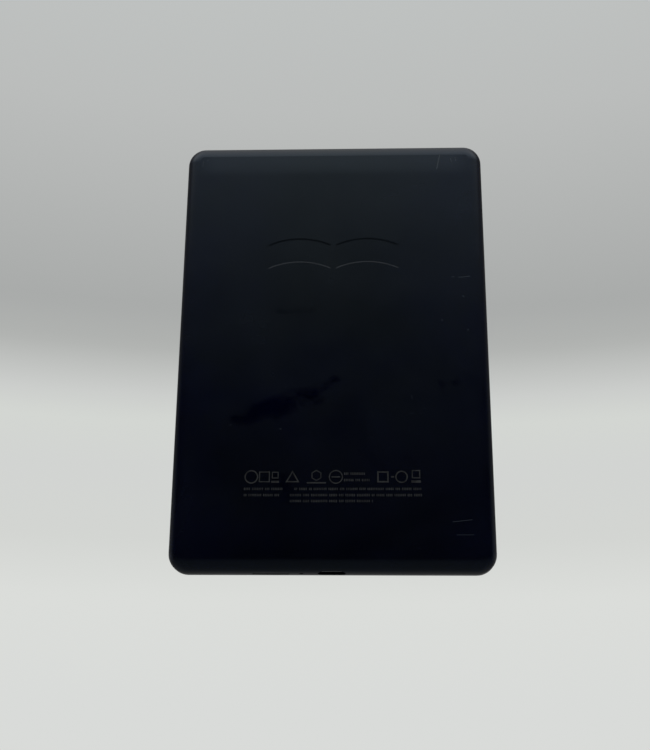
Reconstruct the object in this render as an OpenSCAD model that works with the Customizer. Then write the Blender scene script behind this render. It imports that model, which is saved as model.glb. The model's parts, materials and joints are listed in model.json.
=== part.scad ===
// Six-inch e-reader, built as the pieces that come apart on a bench.
//
// Every piece is drawn lying on its back: x runs across the width, y runs up the
// height from the bottom edge, z is the height above the outer back face, so the
// screen looks up. stand() turns the finished piece upright: the back then faces
// +Y, the screen faces -Y, and the origin is the middle of the bottom edge.

/* [Body] */
// Width of the body
body_w = 108.6; // [106.5:0.1:135]
// Height of the body
body_h = 157.8; // [157:0.1:195]
// Thickness of the body
body_t = 8.0; // [7.8:0.1:10]
// Radius of the four corners, seen from the front
corner_r = 6.6; // [6.2:0.1:12]
// Radius of the rolled edge between the back and the sides
edge_roll = 5.0; // [3:0.1:6]
// Wall thickness of the rear cover
wall_t = 1.3; // [1:0.05:1.6]
// Height of the ribs that cage the battery, above the inside of the back wall
rib_h = 2.6; // [1:0.1:3]
// Thickness of the ribs
rib_t = 0.8; // [0.6:0.1:1.2]

/* [Front] */
// Thickness of the front bezel
bezel_t = 0.8; // [0.6:0.05:1]
// Rounding of the front edge of the bezel
bezel_edge_r = 0.5; // [0.3:0.05:0.55]
// Chamfer along the window of the bezel
window_chamfer = 0.35; // [0.2:0.05:0.5]
// Corner radius of the window
window_r = 1.2; // [0.8:0.1:3]
// Glue between the bezel and the chassis, which is also the hairline on the side
glue_t = 0.1; // [0.05:0.01:0.15]

/* [Screen] */
// Width of the picture area
screen_w = 90.8; // [80:0.1:92]
// Height of the picture area
screen_h = 122.6; // [100:0.1:124]
// Bottom edge of the body to the picture area
screen_up = 23.0; // [22:0.1:24]
// Margin of the window around the picture area
window_margin = 0.4; // [0.2:0.1:0.8]
// Display glass beyond the picture area, on the left, the right and the top
glass_side = 2.8; // [2.4:0.1:3]
// Display glass beyond the picture area at the bottom, where the driver sits
glass_foot = 9.0; // [8:0.1:9.4]
// Thickness of the foam gasket behind the bezel
gasket_t = 0.15; // [0.1:0.01:0.2]
// Thickness of the matt touch sheet
touch_t = 0.25; // [0.2:0.01:0.3]
// Thickness of the light guide
guide_t = 0.45; // [0.4:0.01:0.5]
// Thickness of the electronic ink film
ink_t = 0.3; // [0.25:0.01:0.35]
// Thickness of the display backplane glass
glass_t = 0.5; // [0.4:0.01:0.55]
// Thickness of the mounting tape and of the board insulator
tape_t = 0.1; // [0.05:0.01:0.12]

/* [Chassis] */
// Thickness of the chassis plate
plate_t = 0.8; // [0.7:0.05:0.9]
// Gap between the chassis and the rear cover
chassis_gap = 0.15; // [0.1:0.01:0.2]
// Gap around the display in its pocket
pocket_gap = 0.3; // [0.2:0.05:0.4]
// Length of the bay below the display, which holds the lamps and the ribbons
lamp_bay = 3.2; // [3:0.1:3.4]

/* [Fasteners] */
// Thread diameter of the small screws
screw_d = 1.4; // [1.2:0.1:1.5]
// Head diameter of the small screws
screw_head_d = 2.4; // [2:0.1:2.5]
// Head height of the small screws
screw_head_h = 0.5; // [0.4:0.05:0.6]
// Diameter of the bosses in the rear cover
boss_d = 3.6; // [3:0.1:3.8]
// Side of the body to the axis of the side screws
side_screw_in = 3.6; // [3.5:0.1:3.8]
// Edges of the body to the axes of the corner, top and bottom screws
edge_screw_in = 5.2; // [5:0.1:5.6]
// Length of a chassis screw below its head
chassis_screw_len = 3.1; // [2.4:0.1:3.2]

/* [Board] */
// Width of the main board
board_w = 92; // [90:0.5:94]
// Height of the main board's lower edge beside its tab
board_low = 16; // [15:0.1:17]
// Height of the main board's upper edge
board_high = 60; // [60:0.1:63]
// Thickness of the main board
board_t = 0.8; // [0.6:0.1:1]
// Height of the shield cans above the board
shield_h = 1.6; // [1.4:0.05:1.8]
// Sheet thickness of the shield cans
shield_t = 0.2; // [0.15:0.01:0.25]

/* [Battery] */
// Width of the battery
battery_w = 50; // [40:0.5:60]
// Height of the battery
battery_h = 70; // [50:0.5:71]
// Thickness of the battery
battery_t = 2.8; // [2.2:0.1:2.9]
// Bottom edge of the body to the battery
battery_up = 71; // [70:0.1:72]

/* [Ports] */
// Outer width of the charging socket shell
usb_w = 8.94; // [8.9:0.01:10.8]
// Outer height of the charging socket shell
usb_h = 3.16; // [3.1:0.01:3.2]
// Sheet thickness of the charging socket shell
usb_t = 0.3; // [0.25:0.01:0.35]
// Length of the charging socket shell
usb_len = 7.3; // [6.8:0.1:7.4]
// Width of the power button
button_w = 12; // [8:0.1:14.4]
// Height of the power button
button_h = 2.2; // [1.8:0.1:2.4]
// Distance of the power button from the middle of the bottom edge
button_x = 20; // [19:0.1:20.4]
// Gap around the power button in its opening
button_gap = 0.1; // [0.06:0.01:0.15]
// Diameter of the status light's window
light_d = 1.1; // [0.8:0.1:1.3]
// Distance of the status light from the middle of the bottom edge
light_x = 10; // [9:0.1:10]

/* [Mark] */
// Width of one page of the open-book mark on the back
page_w = 22.5; // [10:0.5:28]
// Height of one page of the mark
page_h = 9.5; // [6:0.5:20]
// Radius of the bowed head and foot of a page
page_bow = 26; // [20:1:60]
// Width of the spine between the two pages
spine_w = 1.6; // [0.8:0.1:4]
// Height of the middle of the mark above the bottom edge
mark_up = 113.4; // [90:0.1:130]
// Depth of the mark in the back wall
mark_deep = 0.35; // [0.1:0.05:0.4]
// Width of the sloping sides of the mark
mark_slope = 0.5; // [0.2:0.05:0.8]

/* [Hidden] */
$fn = 64;
// How far cutting tools run past the face that they cut
over = 1;

// Heights of the layers above the outer back face
bezel_z = body_t - bezel_t;
rim_z = bezel_z - glue_t;
touch_z = bezel_z - gasket_t - touch_t;
guide_z = touch_z - guide_t;
ink_z = guide_z - ink_t;
glass_z = ink_z - glass_t;
plate_top = glass_z - tape_t;
plate_z = plate_top - plate_t;
board_top = plate_z - tape_t;
board_z = board_top - board_t;
cell_z = plate_z - tape_t - battery_t;

// Outlines of the display and of its window
glass_w = screen_w + 2 * glass_side;
glass_low = screen_up - glass_foot;
glass_high = screen_up + screen_h + glass_side;
glass_h = glass_high - glass_low;
glass_mid = (glass_low + glass_high) / 2;
screen_mid = screen_up + screen_h / 2;
window_w = screen_w + 2 * window_margin;
window_h = screen_h + 2 * window_margin;
pocket_low = glass_low - lamp_bay;
pocket_high = glass_high + pocket_gap;
pocket_w = glass_w + 2 * pocket_gap;

// Screws: places, bores and heads
bore_gap = 0.02;
side_x = body_w / 2 - side_screw_in;
corner_x = body_w / 2 - edge_screw_in;
top_y = body_h - edge_screw_in;
side_screw_y = [52, 105];
top_screw_x = 25;
bottom_screw_x = 32;
chassis_screw_at = [
    for (x = [-corner_x, corner_x], y = [edge_screw_in, top_y]) [x, y],
    for (x = [-side_x, side_x], y = side_screw_y) [x, y],
    for (x = [-top_screw_x, top_screw_x]) [x, top_y],
    for (x = [-bottom_screw_x, bottom_screw_x]) [x, edge_screw_in]
];
board_screw_at = [[-42, 57.4], [42, 57.4], [-8.5, 18.4], [30, 18.4]];
board_screw_len = board_top - board_z + tape_t + plate_t - 0.1;

// The ports share one line along the bottom edge
port_z = board_z + 0.65;
port_gap = 0.15;
flange_w = button_w + 2.8;
bay_low_x = -usb_w / 2 - 0.8;
bay_high_x = button_x + flange_w / 2 + 0.5;
bay_y = 11.2;
tab_low_y = 4.4;
usb_y = 0.95;
switch_y = 4.45;
switch_w = 4.7;
switch_l = 3.5;
switch_t = 1.7;
plunger_y = 3.55;
plunger_w = 2;
plunger_t = 1;

// Ribbons: thickness, inner bend radius and the heights of their rear runs
ribbon_t = 0.1;
ribbon_bend = 0.5;
ribbon_turn = pocket_low + 0.8;
ribbon_rear_z = board_z - 0.55;
display_ribbon_x = -25;
display_ribbon_w = 22;
touch_ribbon_x = 40;
touch_ribbon_w = 6;
lamp_tail_x = -42.5;
lamp_tail_w = 4;
lamp_strip_low_x = -45.5;
lamp_strip_high_x = 35.5;
lamp_spacing = 22;
socket_low = 19.6;
socket_l = 3.6;
socket_h = 1.1;
socket_gap = 0.06;
ribbon_end = socket_low + 1.8;

// Middles of the shielded groups on the board
processor_at = [-14, 42];
power_at = [30, 42];
radio_at = [-38, 45];
processor_can = [30, 24];
power_can = [22, 18];
radio_can = [12, 18];

// Battery, its lead and the antenna cable
lead_x = 14;
lead_gap = 1.2;
lead_d = 0.7;
lead_z = board_z - 0.75;
pack_board_y = battery_up - 3.4;
cable_out = 6;
cable_x = -battery_w / 2 - cable_out;
cable_d = 0.8;
cable_z = board_z - 0.65;
plug_y = 57.4;
antenna_low = body_h - 15.3;
antenna_size = [26, 7];
antenna_x = -26;

// ---- Shapes that the pieces share ----

// Stands a piece up: back to +Y, bottom edge on the ground.
module stand() {
    translate([0, body_t / 2, 0])
        rotate([90, 0, 0])
            children();
}

// Rounded rectangle about its own middle.
module rounded(size, r) {
    square([size.x - 2 * r, size.y], center = true);
    square([size.x, size.y - 2 * r], center = true);
    for (sx = [-1, 1], sy = [-1, 1])
        translate([sx * (size.x / 2 - r), sy * (size.y / 2 - r)])
            circle(r);
}

// Flat piece with round corners, from height z0 to z1.
module slab(size, r, z0, z1, at = [0, 0]) {
    translate([at.x, at.y, z0])
        linear_extrude(z1 - z0)
            rounded(size, r);
}

// Square-cornered block on the same terms.
module block(size, z0, z1, at = [0, 0]) {
    translate([at.x - size.x / 2, at.y - size.y / 2, z0])
        cube([size.x, size.y, z1 - z0]);
}

// Runs a flat outline, drawn in x and z, along the height from y0 to y1.
module along_height(y0, y1) {
    translate([0, y1, 0])
        rotate([90, 0, 0])
            linear_extrude(y1 - y0)
                children();
}

// Slot with round ends, w wide over its ends and h high.
module stadium(w, h) {
    square([w - h, h], center = true);
    for (side = [-1, 1])
        translate([side * (w - h) / 2, 0])
            circle(h / 2);
}

// Plate whose edge follows a profile. The profile is drawn outwards from the
// centre of the corner rounding, and spans z0 to z1 where it starts.
module swept_plate(size, r, z0, z1) {
    inner = [size.x - 2 * r, size.y - 2 * r];
    block(inner, z0, z1);
    for (turn = [0:3]) {
        across = turn % 2 == 0 ? inner.x : inner.y;
        along = turn % 2 == 0 ? inner.y : inner.x;
        rotate([0, 0, 90 * turn])
            translate([across / 2, along / 2, 0])
                rotate([90, 0, 0])
                    linear_extrude(along)
                        children();
        rotate([0, 0, 90 * turn])
            translate([across / 2, along / 2, 0])
                rotate_extrude(angle = 90)
                    children();
    }
}

// Section through a rolled edge: r out from the corner centre, from z0 to z1.
module rolled_section(r, roll, z0, z1) {
    translate([0, z0])
        square([r - roll, z1 - z0]);
    translate([0, z0 + roll])
        square([r, z1 - z0 - roll]);
    intersection() {
        translate([r - roll, z0 + roll])
            circle(roll);
        translate([0, z0])
            square([r, roll]);
    }
}

// The body's outside, moved in by inset all round, up to the height top.
module rolled_body(inset, top) {
    r = corner_r - inset;
    translate([0, body_h / 2, 0])
        swept_plate([body_w - 2 * inset, body_h - 2 * inset], r, inset, top)
            rolled_section(r, edge_roll - inset, inset, top);
}

// One small screw, head up, its shank going down from z.
module small_screw(at, z, shank) {
    slot = [screw_head_d * 0.55, 0.35];
    translate([at.x, at.y, z])
        difference() {
            union() {
                cylinder(h = screw_head_h, d = screw_head_d);
                translate([0, 0, -shank])
                    cylinder(h = shank, d = screw_d);
            }
            for (turn = [0, 90])
                rotate([0, 0, turn])
                    block(slot, screw_head_h * 0.4, screw_head_h + over);
        }
}

// Flat flexible ribbon: forward run, bend, drop, bend, rear run.
module ribbon(x, w, z_front, y_front, y_rear) {
    bend = ribbon_bend + ribbon_t;
    start = ribbon_turn + bend;
    z_high = z_front + ribbon_t;
    translate([x + w / 2, 0, 0])
        rotate([0, -90, 0])
            linear_extrude(w)
                union() {
                    translate([z_front, start])
                        square([ribbon_t, y_front - start]);
                    translate([ribbon_rear_z + bend, ribbon_turn])
                        square([z_high - ribbon_rear_z - 2 * bend, ribbon_t]);
                    translate([ribbon_rear_z, start])
                        square([ribbon_t, y_rear - start]);
                    translate([z_high - bend, start])
                        ribbon_corner([0, -bend]);
                    translate([ribbon_rear_z + bend, start])
                        ribbon_corner([-bend, -bend]);
                }
}

// Quarter ring that turns a ribbon, in the square that starts at corner.
module ribbon_corner(corner) {
    bend = ribbon_bend + ribbon_t;
    intersection() {
        difference() {
            circle(bend);
            circle(ribbon_bend);
        }
        translate(corner)
            square([bend, bend]);
    }
}

// Socket on the board that a ribbon slides into from below.
module ribbon_socket(x, w) {
    z0 = board_z - socket_h;
    slot_l = ribbon_end + socket_gap - socket_low;
    difference() {
        block([w + 2, socket_l], z0, board_z, [x, socket_low + socket_l / 2]);
        block([w + 2 * socket_gap, 2 * slot_l], ribbon_rear_z - socket_gap,
            ribbon_rear_z + ribbon_t + socket_gap, [x, socket_low]);
    }
}

// Shield can: a thin lid with four walls, open towards the board.
module shield_can(size, at) {
    hole_d = 1.2;
    pitch = 4;
    z0 = board_z - shield_h;
    hollow = [size.x - 2 * shield_t, size.y - 2 * shield_t];
    columns = floor((size.x - 4) / pitch / 2);
    difference() {
        slab(size, 0.6, z0, board_z, at);
        slab(hollow, 0.4, z0 + shield_t, board_z + over, at);
        for (i = [-columns:columns], side = [-1, 1])
            translate([at.x + i * pitch, at.y + side * (size.y / 2 - 2.4), z0 - over])
                cylinder(h = shield_t + 2 * over, d = hole_d);
    }
}

// Chip on the board's rear face.
module chip(size, h, at) {
    block(size, board_z - h, board_z, at);
}

// How far the mark's sides have drawn in at height z in the back wall.
function mark_inset(z) = mark_slope * z / mark_deep;

// Pocket for one page of the mark: sloping sides, bowed head and foot. It starts
// a little outside the back face and narrows down to the floor.
module page_pocket() {
    outside = -0.2;
    half = page_w / 2;
    sag = page_bow - sqrt(page_bow * page_bow - half * half);
    bow_y = (page_h + sag) / 2 - page_bow;
    wide = half - mark_inset(outside);
    narrow = half - mark_inset(mark_deep);
    difference() {
        intersection() {
            rotate([90, 0, 0])
                linear_extrude(page_h * 4, center = true)
                    polygon([
                        [-wide, outside], [wide, outside],
                        [narrow, mark_deep], [-narrow, mark_deep]
                    ]);
            translate([0, bow_y, outside])
                cylinder(h = mark_deep - outside, r1 = page_bow - mark_inset(outside),
                    r2 = page_bow - mark_inset(mark_deep));
        }
        translate([0, bow_y - page_h, 2 * outside])
            cylinder(h = 2 * (mark_deep - outside), r1 = page_bow + mark_inset(2 * outside),
                r2 = page_bow + mark_inset(2 * mark_deep));
    }
}

// Both pages, either side of the spine.
module book_mark() {
    for (side = [-1, 1])
        translate([side * (spine_w + page_w) / 2, mark_up, 0])
            page_pocket();
}

// ---- Casing ----

// Rear cover: rolled shell with screw bosses, ribs and the port openings.
module rear_cover() {
    rib_top = wall_t + rib_h;
    color([0.07, 0.09, 0.12])
        stand()
            difference() {
                union() {
                    difference() {
                        rolled_body(0, rim_z);
                        rolled_body(wall_t, rim_z + over);
                    }
                    intersection() {
                        rolled_body(wall_t / 2, plate_z);
                        union() {
                            for (at = chassis_screw_at)
                                translate([at.x, at.y, 0])
                                    cylinder(h = plate_z, d = boss_d);
                            battery_cage(rib_top);
                            cable_guides(rib_top);
                        }
                    }
                }
                for (at = chassis_screw_at)
                    translate([at.x, at.y, plate_top - chassis_screw_len - 0.25])
                        cylinder(h = body_t, d = screw_d + 2 * bore_gap);
                translate([0, 0, port_z])
                    along_height(-over, wall_t * 3)
                        stadium(usb_w + 2 * port_gap, usb_h + 2 * port_gap);
                translate([button_x, 0, port_z])
                    along_height(-over, wall_t * 3)
                        stadium(button_w + 2 * button_gap, button_h + 2 * button_gap);
                translate([light_x, 0, port_z])
                    along_height(-over, wall_t * 3)
                        circle(light_d / 2 + button_gap);
                book_mark();
            }
}

// Ribs on the rear cover that keep the battery from sliding.
module battery_cage(top) {
    side_x = battery_w / 2 + 0.6 + rib_t / 2;
    mid_y = battery_up + battery_h / 2;
    for (side = [-1, 1], end = [-1, 1])
        block([rib_t, battery_h * 0.3], 0, top,
            [side * side_x, mid_y + end * battery_h * 0.3]);
    for (side = [-1, 1])
        block([battery_w * 0.3, rib_t], 0, top,
            [side * battery_w * 0.3, battery_up + battery_h + 0.6 + rib_t / 2]);
}

// Pairs of short ribs that hold the antenna cable straight.
module cable_guides(top) {
    guides = 3;
    first = board_high + 22;
    step = (antenna_low - first) / guides;
    for (i = [0:guides - 1], side = [-1, 1])
        block([rib_t, 5], 0, top,
            [cable_x + side * (cable_d + rib_t + 0.3) / 2, first + i * step]);
}

// Front bezel: thin frame around the screen, glued over the chassis.
module front_bezel() {
    chamfer = window_chamfer;
    color([0.06, 0.07, 0.08])
        stand()
            difference() {
                translate([0, body_h / 2, body_t])
                    mirror([0, 0, 1])
                        swept_plate([body_w, body_h], corner_r, 0, bezel_t)
                            rolled_section(corner_r, bezel_edge_r, 0, bezel_t);
                slab([window_w, window_h], window_r, bezel_z - over, body_t + over,
                    [0, screen_mid]);
                translate([0, screen_mid, body_t - chamfer])
                    swept_plate([window_w + 2 * chamfer, window_h + 2 * chamfer],
                        window_r + chamfer, 0, chamfer)
                        polygon([
                            [0, 0], [window_r, 0],
                            [window_r + chamfer, chamfer], [0, chamfer]
                        ]);
            }
}

// Glue ring between the bezel and the chassis ledge.
module bezel_adhesive() {
    edge = wall_t + chassis_gap + 0.4;
    color([0.2, 0.2, 0.2])
        stand()
            difference() {
                slab([body_w - 2 * edge, body_h - 2 * edge], corner_r - edge, rim_z, bezel_z,
                    [0, body_h / 2]);
                display_pocket(rim_z - over, bezel_z + over, 0.3);
            }
}

// Room that the chassis leaves for the display, its lamps and its ribbons.
module display_pocket(z0, z1, extra) {
    size = [pocket_w + 2 * extra, pocket_high - pocket_low + 2 * extra];
    slab(size, 1, z0, z1, [0, (pocket_low + pocket_high) / 2]);
}

// Foam gasket that keeps dust out between the bezel and the touch sheet.
module display_gasket() {
    inner = [window_w + 0.8, window_h + 0.8];
    color([0.12, 0.12, 0.12])
        stand()
            difference() {
                slab([glass_w - 0.6, glass_h - 0.6], 1, touch_z + touch_t, bezel_z,
                    [0, glass_mid]);
                slab(inner, window_r, touch_z, bezel_z + over, [0, screen_mid]);
            }
}

// ---- Chassis ----

// Chassis: plate that carries the display in front and the electronics behind.
module mid_frame() {
    edge = wall_t + chassis_gap;
    color([0.62, 0.64, 0.66])
        stand()
            difference() {
                intersection() {
                    slab([body_w - 2 * edge, body_h - 2 * edge], corner_r - edge,
                        plate_z, rim_z, [0, body_h / 2]);
                    rolled_body(edge, rim_z + over);
                }
                display_pocket(plate_top, rim_z + over, 0);
                for (at = chassis_screw_at)
                    translate([at.x, at.y, 0]) {
                        cylinder(h = body_t, d = screw_d + 0.2);
                        translate([0, 0, plate_top])
                            cylinder(h = body_t, d = screw_head_d + 0.4);
                    }
                for (at = board_screw_at)
                    translate([at.x, at.y, 0])
                        cylinder(h = plate_top + 0.01, d = screw_d + 2 * bore_gap);
                port_bay();
                ribbon_slot(display_ribbon_x, display_ribbon_w);
                ribbon_slot(touch_ribbon_x, touch_ribbon_w);
                ribbon_slot(lamp_tail_x, lamp_tail_w);
                chassis_windows();
            }
}

// Room in the chassis for the socket, the light pipe, the button and its switch.
module port_bay() {
    top = port_z + usb_h / 2 + 0.2;
    translate([bay_low_x, 0, 0])
        cube([bay_high_x - bay_low_x, bay_y, top]);
}

// Slot that lets a ribbon through to the rear.
module ribbon_slot(x, w) {
    block([w + 2, 2.8], 0, plate_top + over, [x, ribbon_turn + 0.9]);
}

// Windows that lighten the plate and keep metal away from the antenna.
module chassis_windows() {
    slab([antenna_size.x + 2, 5], 1, 0, plate_top + over,
        [antenna_x, pocket_high - 4.5]);
    for (side = [-1, 1])
        slab([10, 36], 3, 0, plate_top + over,
            [side * 39, battery_up + battery_h / 2]);
}

// Screws that hold the chassis to the bosses of the rear cover.
module chassis_screws() {
    color([0.25, 0.26, 0.28])
        stand()
            for (at = chassis_screw_at)
                small_screw(at, plate_top, chassis_screw_len);
}

// ---- Display ----

// Matt touch sheet: what a finger meets inside the bezel.
module touch_sheet() {
    color([0.72, 0.72, 0.69])
        stand()
            slab([glass_w, glass_h], 1, touch_z, touch_z + touch_t, [0, glass_mid]);
}

// Clear plate that spreads the lamps' light over the ink.
module light_guide() {
    color([0.85, 0.9, 0.92])
        stand()
            slab([glass_w - 0.8, glass_h - 0.6], 0.8, guide_z, touch_z,
                [0, glass_mid + 0.1]);
}

// Electronic ink film.
module ink_film() {
    low = screen_up - 2.4;
    high = screen_up + screen_h + 1.4;
    color([0.75, 0.75, 0.72])
        stand()
            slab([screen_w + 2.8, high - low], 0.5, ink_z, guide_z,
                [0, (low + high) / 2]);
}

// Backplane glass with the transistors that drive the ink.
module display_glass() {
    color([0.5, 0.55, 0.55])
        stand()
            slab([glass_w, glass_h], 0.6, glass_z, ink_z, [0, glass_mid]);
}

// Driver chip on the glass, below the ink film.
module driver_chip() {
    color([0.1, 0.1, 0.12])
        stand()
            block([32, 1.4], ink_z, ink_z + 0.25, [0, glass_low + 3.9]);
}

// Tape that fixes the glass to the chassis plate, in two strips.
module display_tape() {
    color([0.85, 0.85, 0.8])
        stand()
            for (side = [-1, 1])
                block([12, glass_h - 20], plate_top, glass_z,
                    [side * (glass_w / 2 - 26), glass_mid]);
}

// Flexible strip below the light guide, with its tail to the board.
module lamp_strip() {
    low_y = ribbon_turn + ribbon_bend + ribbon_t;
    high_y = glass_low - 0.1;
    color([0.75, 0.5, 0.15])
        stand()
            union() {
                translate([lamp_strip_low_x, low_y, touch_z])
                    cube([lamp_strip_high_x - lamp_strip_low_x, high_y - low_y, ribbon_t]);
                ribbon(lamp_tail_x, lamp_tail_w, touch_z, high_y, ribbon_end);
            }
}

// The four lamps on the strip, against the edge of the light guide.
module lamps() {
    high_y = glass_low + 0.3;
    color([0.95, 0.93, 0.8])
        stand()
            for (i = [-1.5:1:1.5])
                block([3, 1.2], touch_z - 0.4, touch_z, [i * lamp_spacing, high_y - 0.7]);
}

// Ribbon from the glass, round the chassis, to the board.
module display_ribbon() {
    color([0.75, 0.45, 0.1])
        stand()
            ribbon(display_ribbon_x, display_ribbon_w, ink_z, glass_low + 2.4, ribbon_end);
}

// Ribbon from the touch sheet to the board.
module touch_ribbon() {
    color([0.7, 0.42, 0.1])
        stand()
            ribbon(touch_ribbon_x, touch_ribbon_w, touch_z + 0.05, glass_low, ribbon_end);
}

// ---- Main board ----

// Outline of the board: a wide part and a tab that reaches the bottom edge.
module board_outline() {
    tab_low_x = bay_low_x - 3;
    tab_high_x = bay_high_x + 0.4;
    translate([-board_w / 2, board_low])
        square([board_w, board_high - board_low]);
    translate([tab_low_x, tab_low_y])
        square([tab_high_x - tab_low_x, board_low - tab_low_y + over]);
}

// Notches in the tab for the socket and the switch, which sit level with it.
module board_notches() {
    usb_notch = [usb_w + 0.6, usb_y + usb_len + 0.3];
    switch_notch = [switch_w + 0.4, switch_y + switch_l + 0.3];
    translate([0, usb_notch.y / 2])
        square(usb_notch, center = true);
    translate([button_x, switch_notch.y / 2])
        square(switch_notch, center = true);
}

// Circuit board that carries the electronics.
module main_board() {
    color([0.05, 0.2, 0.14])
        stand()
            difference() {
                translate([0, 0, board_z])
                    linear_extrude(board_t)
                        difference() {
                            board_outline();
                            board_notches();
                        }
                for (at = board_screw_at)
                    translate([at.x, at.y, 0])
                        cylinder(h = body_t, d = screw_d + 0.2);
            }
}

// Insulating film between the board and the chassis plate.
module board_insulator() {
    low = board_low + 1;
    high = board_high - 0.5;
    color([0.8, 0.8, 0.76])
        stand()
            difference() {
                block([board_w - 2, high - low], board_top, plate_z,
                    [0, (low + high) / 2]);
                for (at = board_screw_at)
                    translate([at.x, at.y, 0])
                        cylinder(h = body_t, d = screw_d + 1.2);
            }
}

// Screws that hold the board to the chassis, put in from the rear.
module board_screws() {
    color([0.3, 0.31, 0.33])
        stand()
            for (at = board_screw_at)
                translate([at.x, at.y, board_z])
                    rotate([180, 0, 0])
                        small_screw([0, 0], 0, board_screw_len);
}

module display_socket() {
    color([0.15, 0.14, 0.13])
        stand()
            ribbon_socket(display_ribbon_x, display_ribbon_w);
}

module touch_socket() {
    color([0.15, 0.14, 0.13])
        stand()
            ribbon_socket(touch_ribbon_x, touch_ribbon_w);
}

module lamp_socket() {
    color([0.15, 0.14, 0.13])
        stand()
            ribbon_socket(lamp_tail_x, lamp_tail_w);
}

module processor_chip() {
    color([0.08, 0.08, 0.09])
        stand()
            chip([12, 12], 0.9, [processor_at.x - 6.6, processor_at.y]);
}

module memory_chip() {
    color([0.08, 0.08, 0.09])
        stand()
            chip([10, 11.5], 0.8, [processor_at.x + 6.8, processor_at.y]);
}

module storage_chip() {
    color([0.08, 0.08, 0.09])
        stand()
            chip([11.5, 13], 0.9, [9, 24.6]);
}

// Soft pad that carries heat from the processor to its shield.
module thermal_pad() {
    color([0.55, 0.65, 0.7])
        stand()
            block([10, 10], board_z - shield_h + shield_t, board_z - 0.9,
                [processor_at.x - 6.6, processor_at.y]);
}

module processor_shield() {
    color([0.72, 0.73, 0.74])
        stand()
            shield_can(processor_can, processor_at);
}

module power_chip() {
    color([0.08, 0.08, 0.09])
        stand()
            chip([7, 7], 0.8, [power_at.x - 5, power_at.y]);
}

// Coils of the power supply.
module power_coils() {
    coils = 3;
    color([0.3, 0.3, 0.32])
        stand()
            for (i = [0:coils - 1])
                chip([2.6, 2.2], 1.1, [power_at.x + 4, power_at.y + (i - 1) * 4]);
}

module power_shield() {
    color([0.72, 0.73, 0.74])
        stand()
            shield_can(power_can, power_at);
}

module radio_chip() {
    color([0.08, 0.08, 0.09])
        stand()
            chip([7, 8], 0.9, radio_at);
}

module radio_shield() {
    color([0.72, 0.73, 0.74])
        stand()
            shield_can(radio_can, radio_at);
}

module board_crystal() {
    color([0.8, 0.8, 0.78])
        stand()
            chip([3.2, 1.5], 0.7, [8, 50]);
}

// Small capacitors in rows beside the storage chip.
module board_capacitors() {
    columns = 6;
    rows = 2;
    color([0.6, 0.5, 0.35])
        stand()
            for (i = [0:columns - 1], j = [0:rows - 1])
                chip([0.6, 1.1], 0.55, [4.2 + i * 1.9, 34 + j * 2.4]);
}

// Sensor that feels the magnet of a cover.
module magnet_sensor() {
    color([0.1, 0.1, 0.1])
        stand()
            chip([2.9, 1.4], 1.0, [42, 30]);
}

// ---- Battery ----

module battery_cell() {
    color([0.55, 0.57, 0.6])
        stand()
            slab([battery_w, battery_h], 1.5, cell_z, plate_z - tape_t,
                [0, battery_up + battery_h / 2]);
}

// Protection board along the foot of the cell.
module battery_board() {
    color([0.06, 0.25, 0.12])
        stand()
            block([battery_w - 8, 3.4], lead_z - 0.4, lead_z + 0.4,
                [0, battery_up - 1.7]);
}

// Two tape strips between the cell and the chassis.
module battery_tape() {
    color([0.9, 0.9, 0.86])
        stand()
            for (side = [-1, 1])
                block([battery_w * 0.24, battery_h - 8], plate_z - tape_t, plate_z,
                    [side * battery_w * 0.28, battery_up + battery_h / 2]);
}

// Two foam strips between the cell and the rear cover.
module battery_foam() {
    color([0.2, 0.2, 0.2])
        stand()
            for (side = [-1, 1])
                block([battery_w - 10, 8], wall_t, cell_z,
                    [0, battery_up + battery_h / 2 + side * battery_h * 0.3]);
}

// Three wires from the protection board to the plug.
module battery_lead() {
    color([0.75, 0.1, 0.08])
        stand()
            for (i = [-1:1])
                translate([lead_x + i * lead_gap, 0, lead_z])
                    along_height(board_high + 1, pack_board_y)
                        circle(lead_d / 2);
}

// Plug of the battery lead, pushed into its socket along the board.
module battery_plug() {
    color([0.92, 0.92, 0.9])
        stand()
            block([5.2, 4.4], lead_z - 0.5, lead_z + 0.5, [lead_x, board_high - 1.2]);
}

// Socket for the battery plug, open towards the battery.
module battery_socket() {
    slot_gap = 0.05;
    color([0.88, 0.86, 0.8])
        stand()
            difference() {
                block([6.8, 4.6], lead_z - 0.75, board_z, [lead_x, board_high - 2.4]);
                block([5.2 + 2 * slot_gap, 4], lead_z - 0.5 - slot_gap,
                    lead_z + 0.5 + slot_gap, [lead_x, board_high - 1.45]);
            }
}

// ---- Antenna ----

module antenna_carrier() {
    color([0.85, 0.85, 0.82])
        stand()
            block(antenna_size, cable_z - 0.1, plate_z,
                [antenna_x, antenna_low + antenna_size.y / 2]);
}

// Copper foil of the antenna: a spine with teeth.
module antenna_foil() {
    teeth = 7;
    pitch = (antenna_size.x - 3) / (teeth - 1);
    z0 = cable_z - 0.1 - ribbon_t;
    mid_y = antenna_low + antenna_size.y / 2;
    color([0.8, 0.55, 0.25])
        stand()
            union() {
                block([antenna_size.x - 1.4, 1.2], z0, z0 + ribbon_t,
                    [antenna_x, antenna_low + antenna_size.y - 1.2]);
                for (i = [0:teeth - 1])
                    block([1.4, antenna_size.y - 1.6], z0, z0 + ribbon_t,
                        [antenna_x + (i - (teeth - 1) / 2) * pitch, mid_y]);
            }
}

// Round push-on plug of the antenna cable.
module antenna_plug() {
    color([0.85, 0.7, 0.35])
        stand()
            translate([cable_x, plug_y, board_z - 1.2])
                cylinder(h = 1.2, d = 2.4);
}

// Thin coaxial cable, held straight by the guides, up to the antenna.
module antenna_cable() {
    color([0.1, 0.1, 0.1])
        stand()
            translate([cable_x, 0, cable_z])
                along_height(plug_y + 1.2, antenna_low)
                    circle(cable_d / 2);
}

// ---- Charging socket ----

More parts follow.
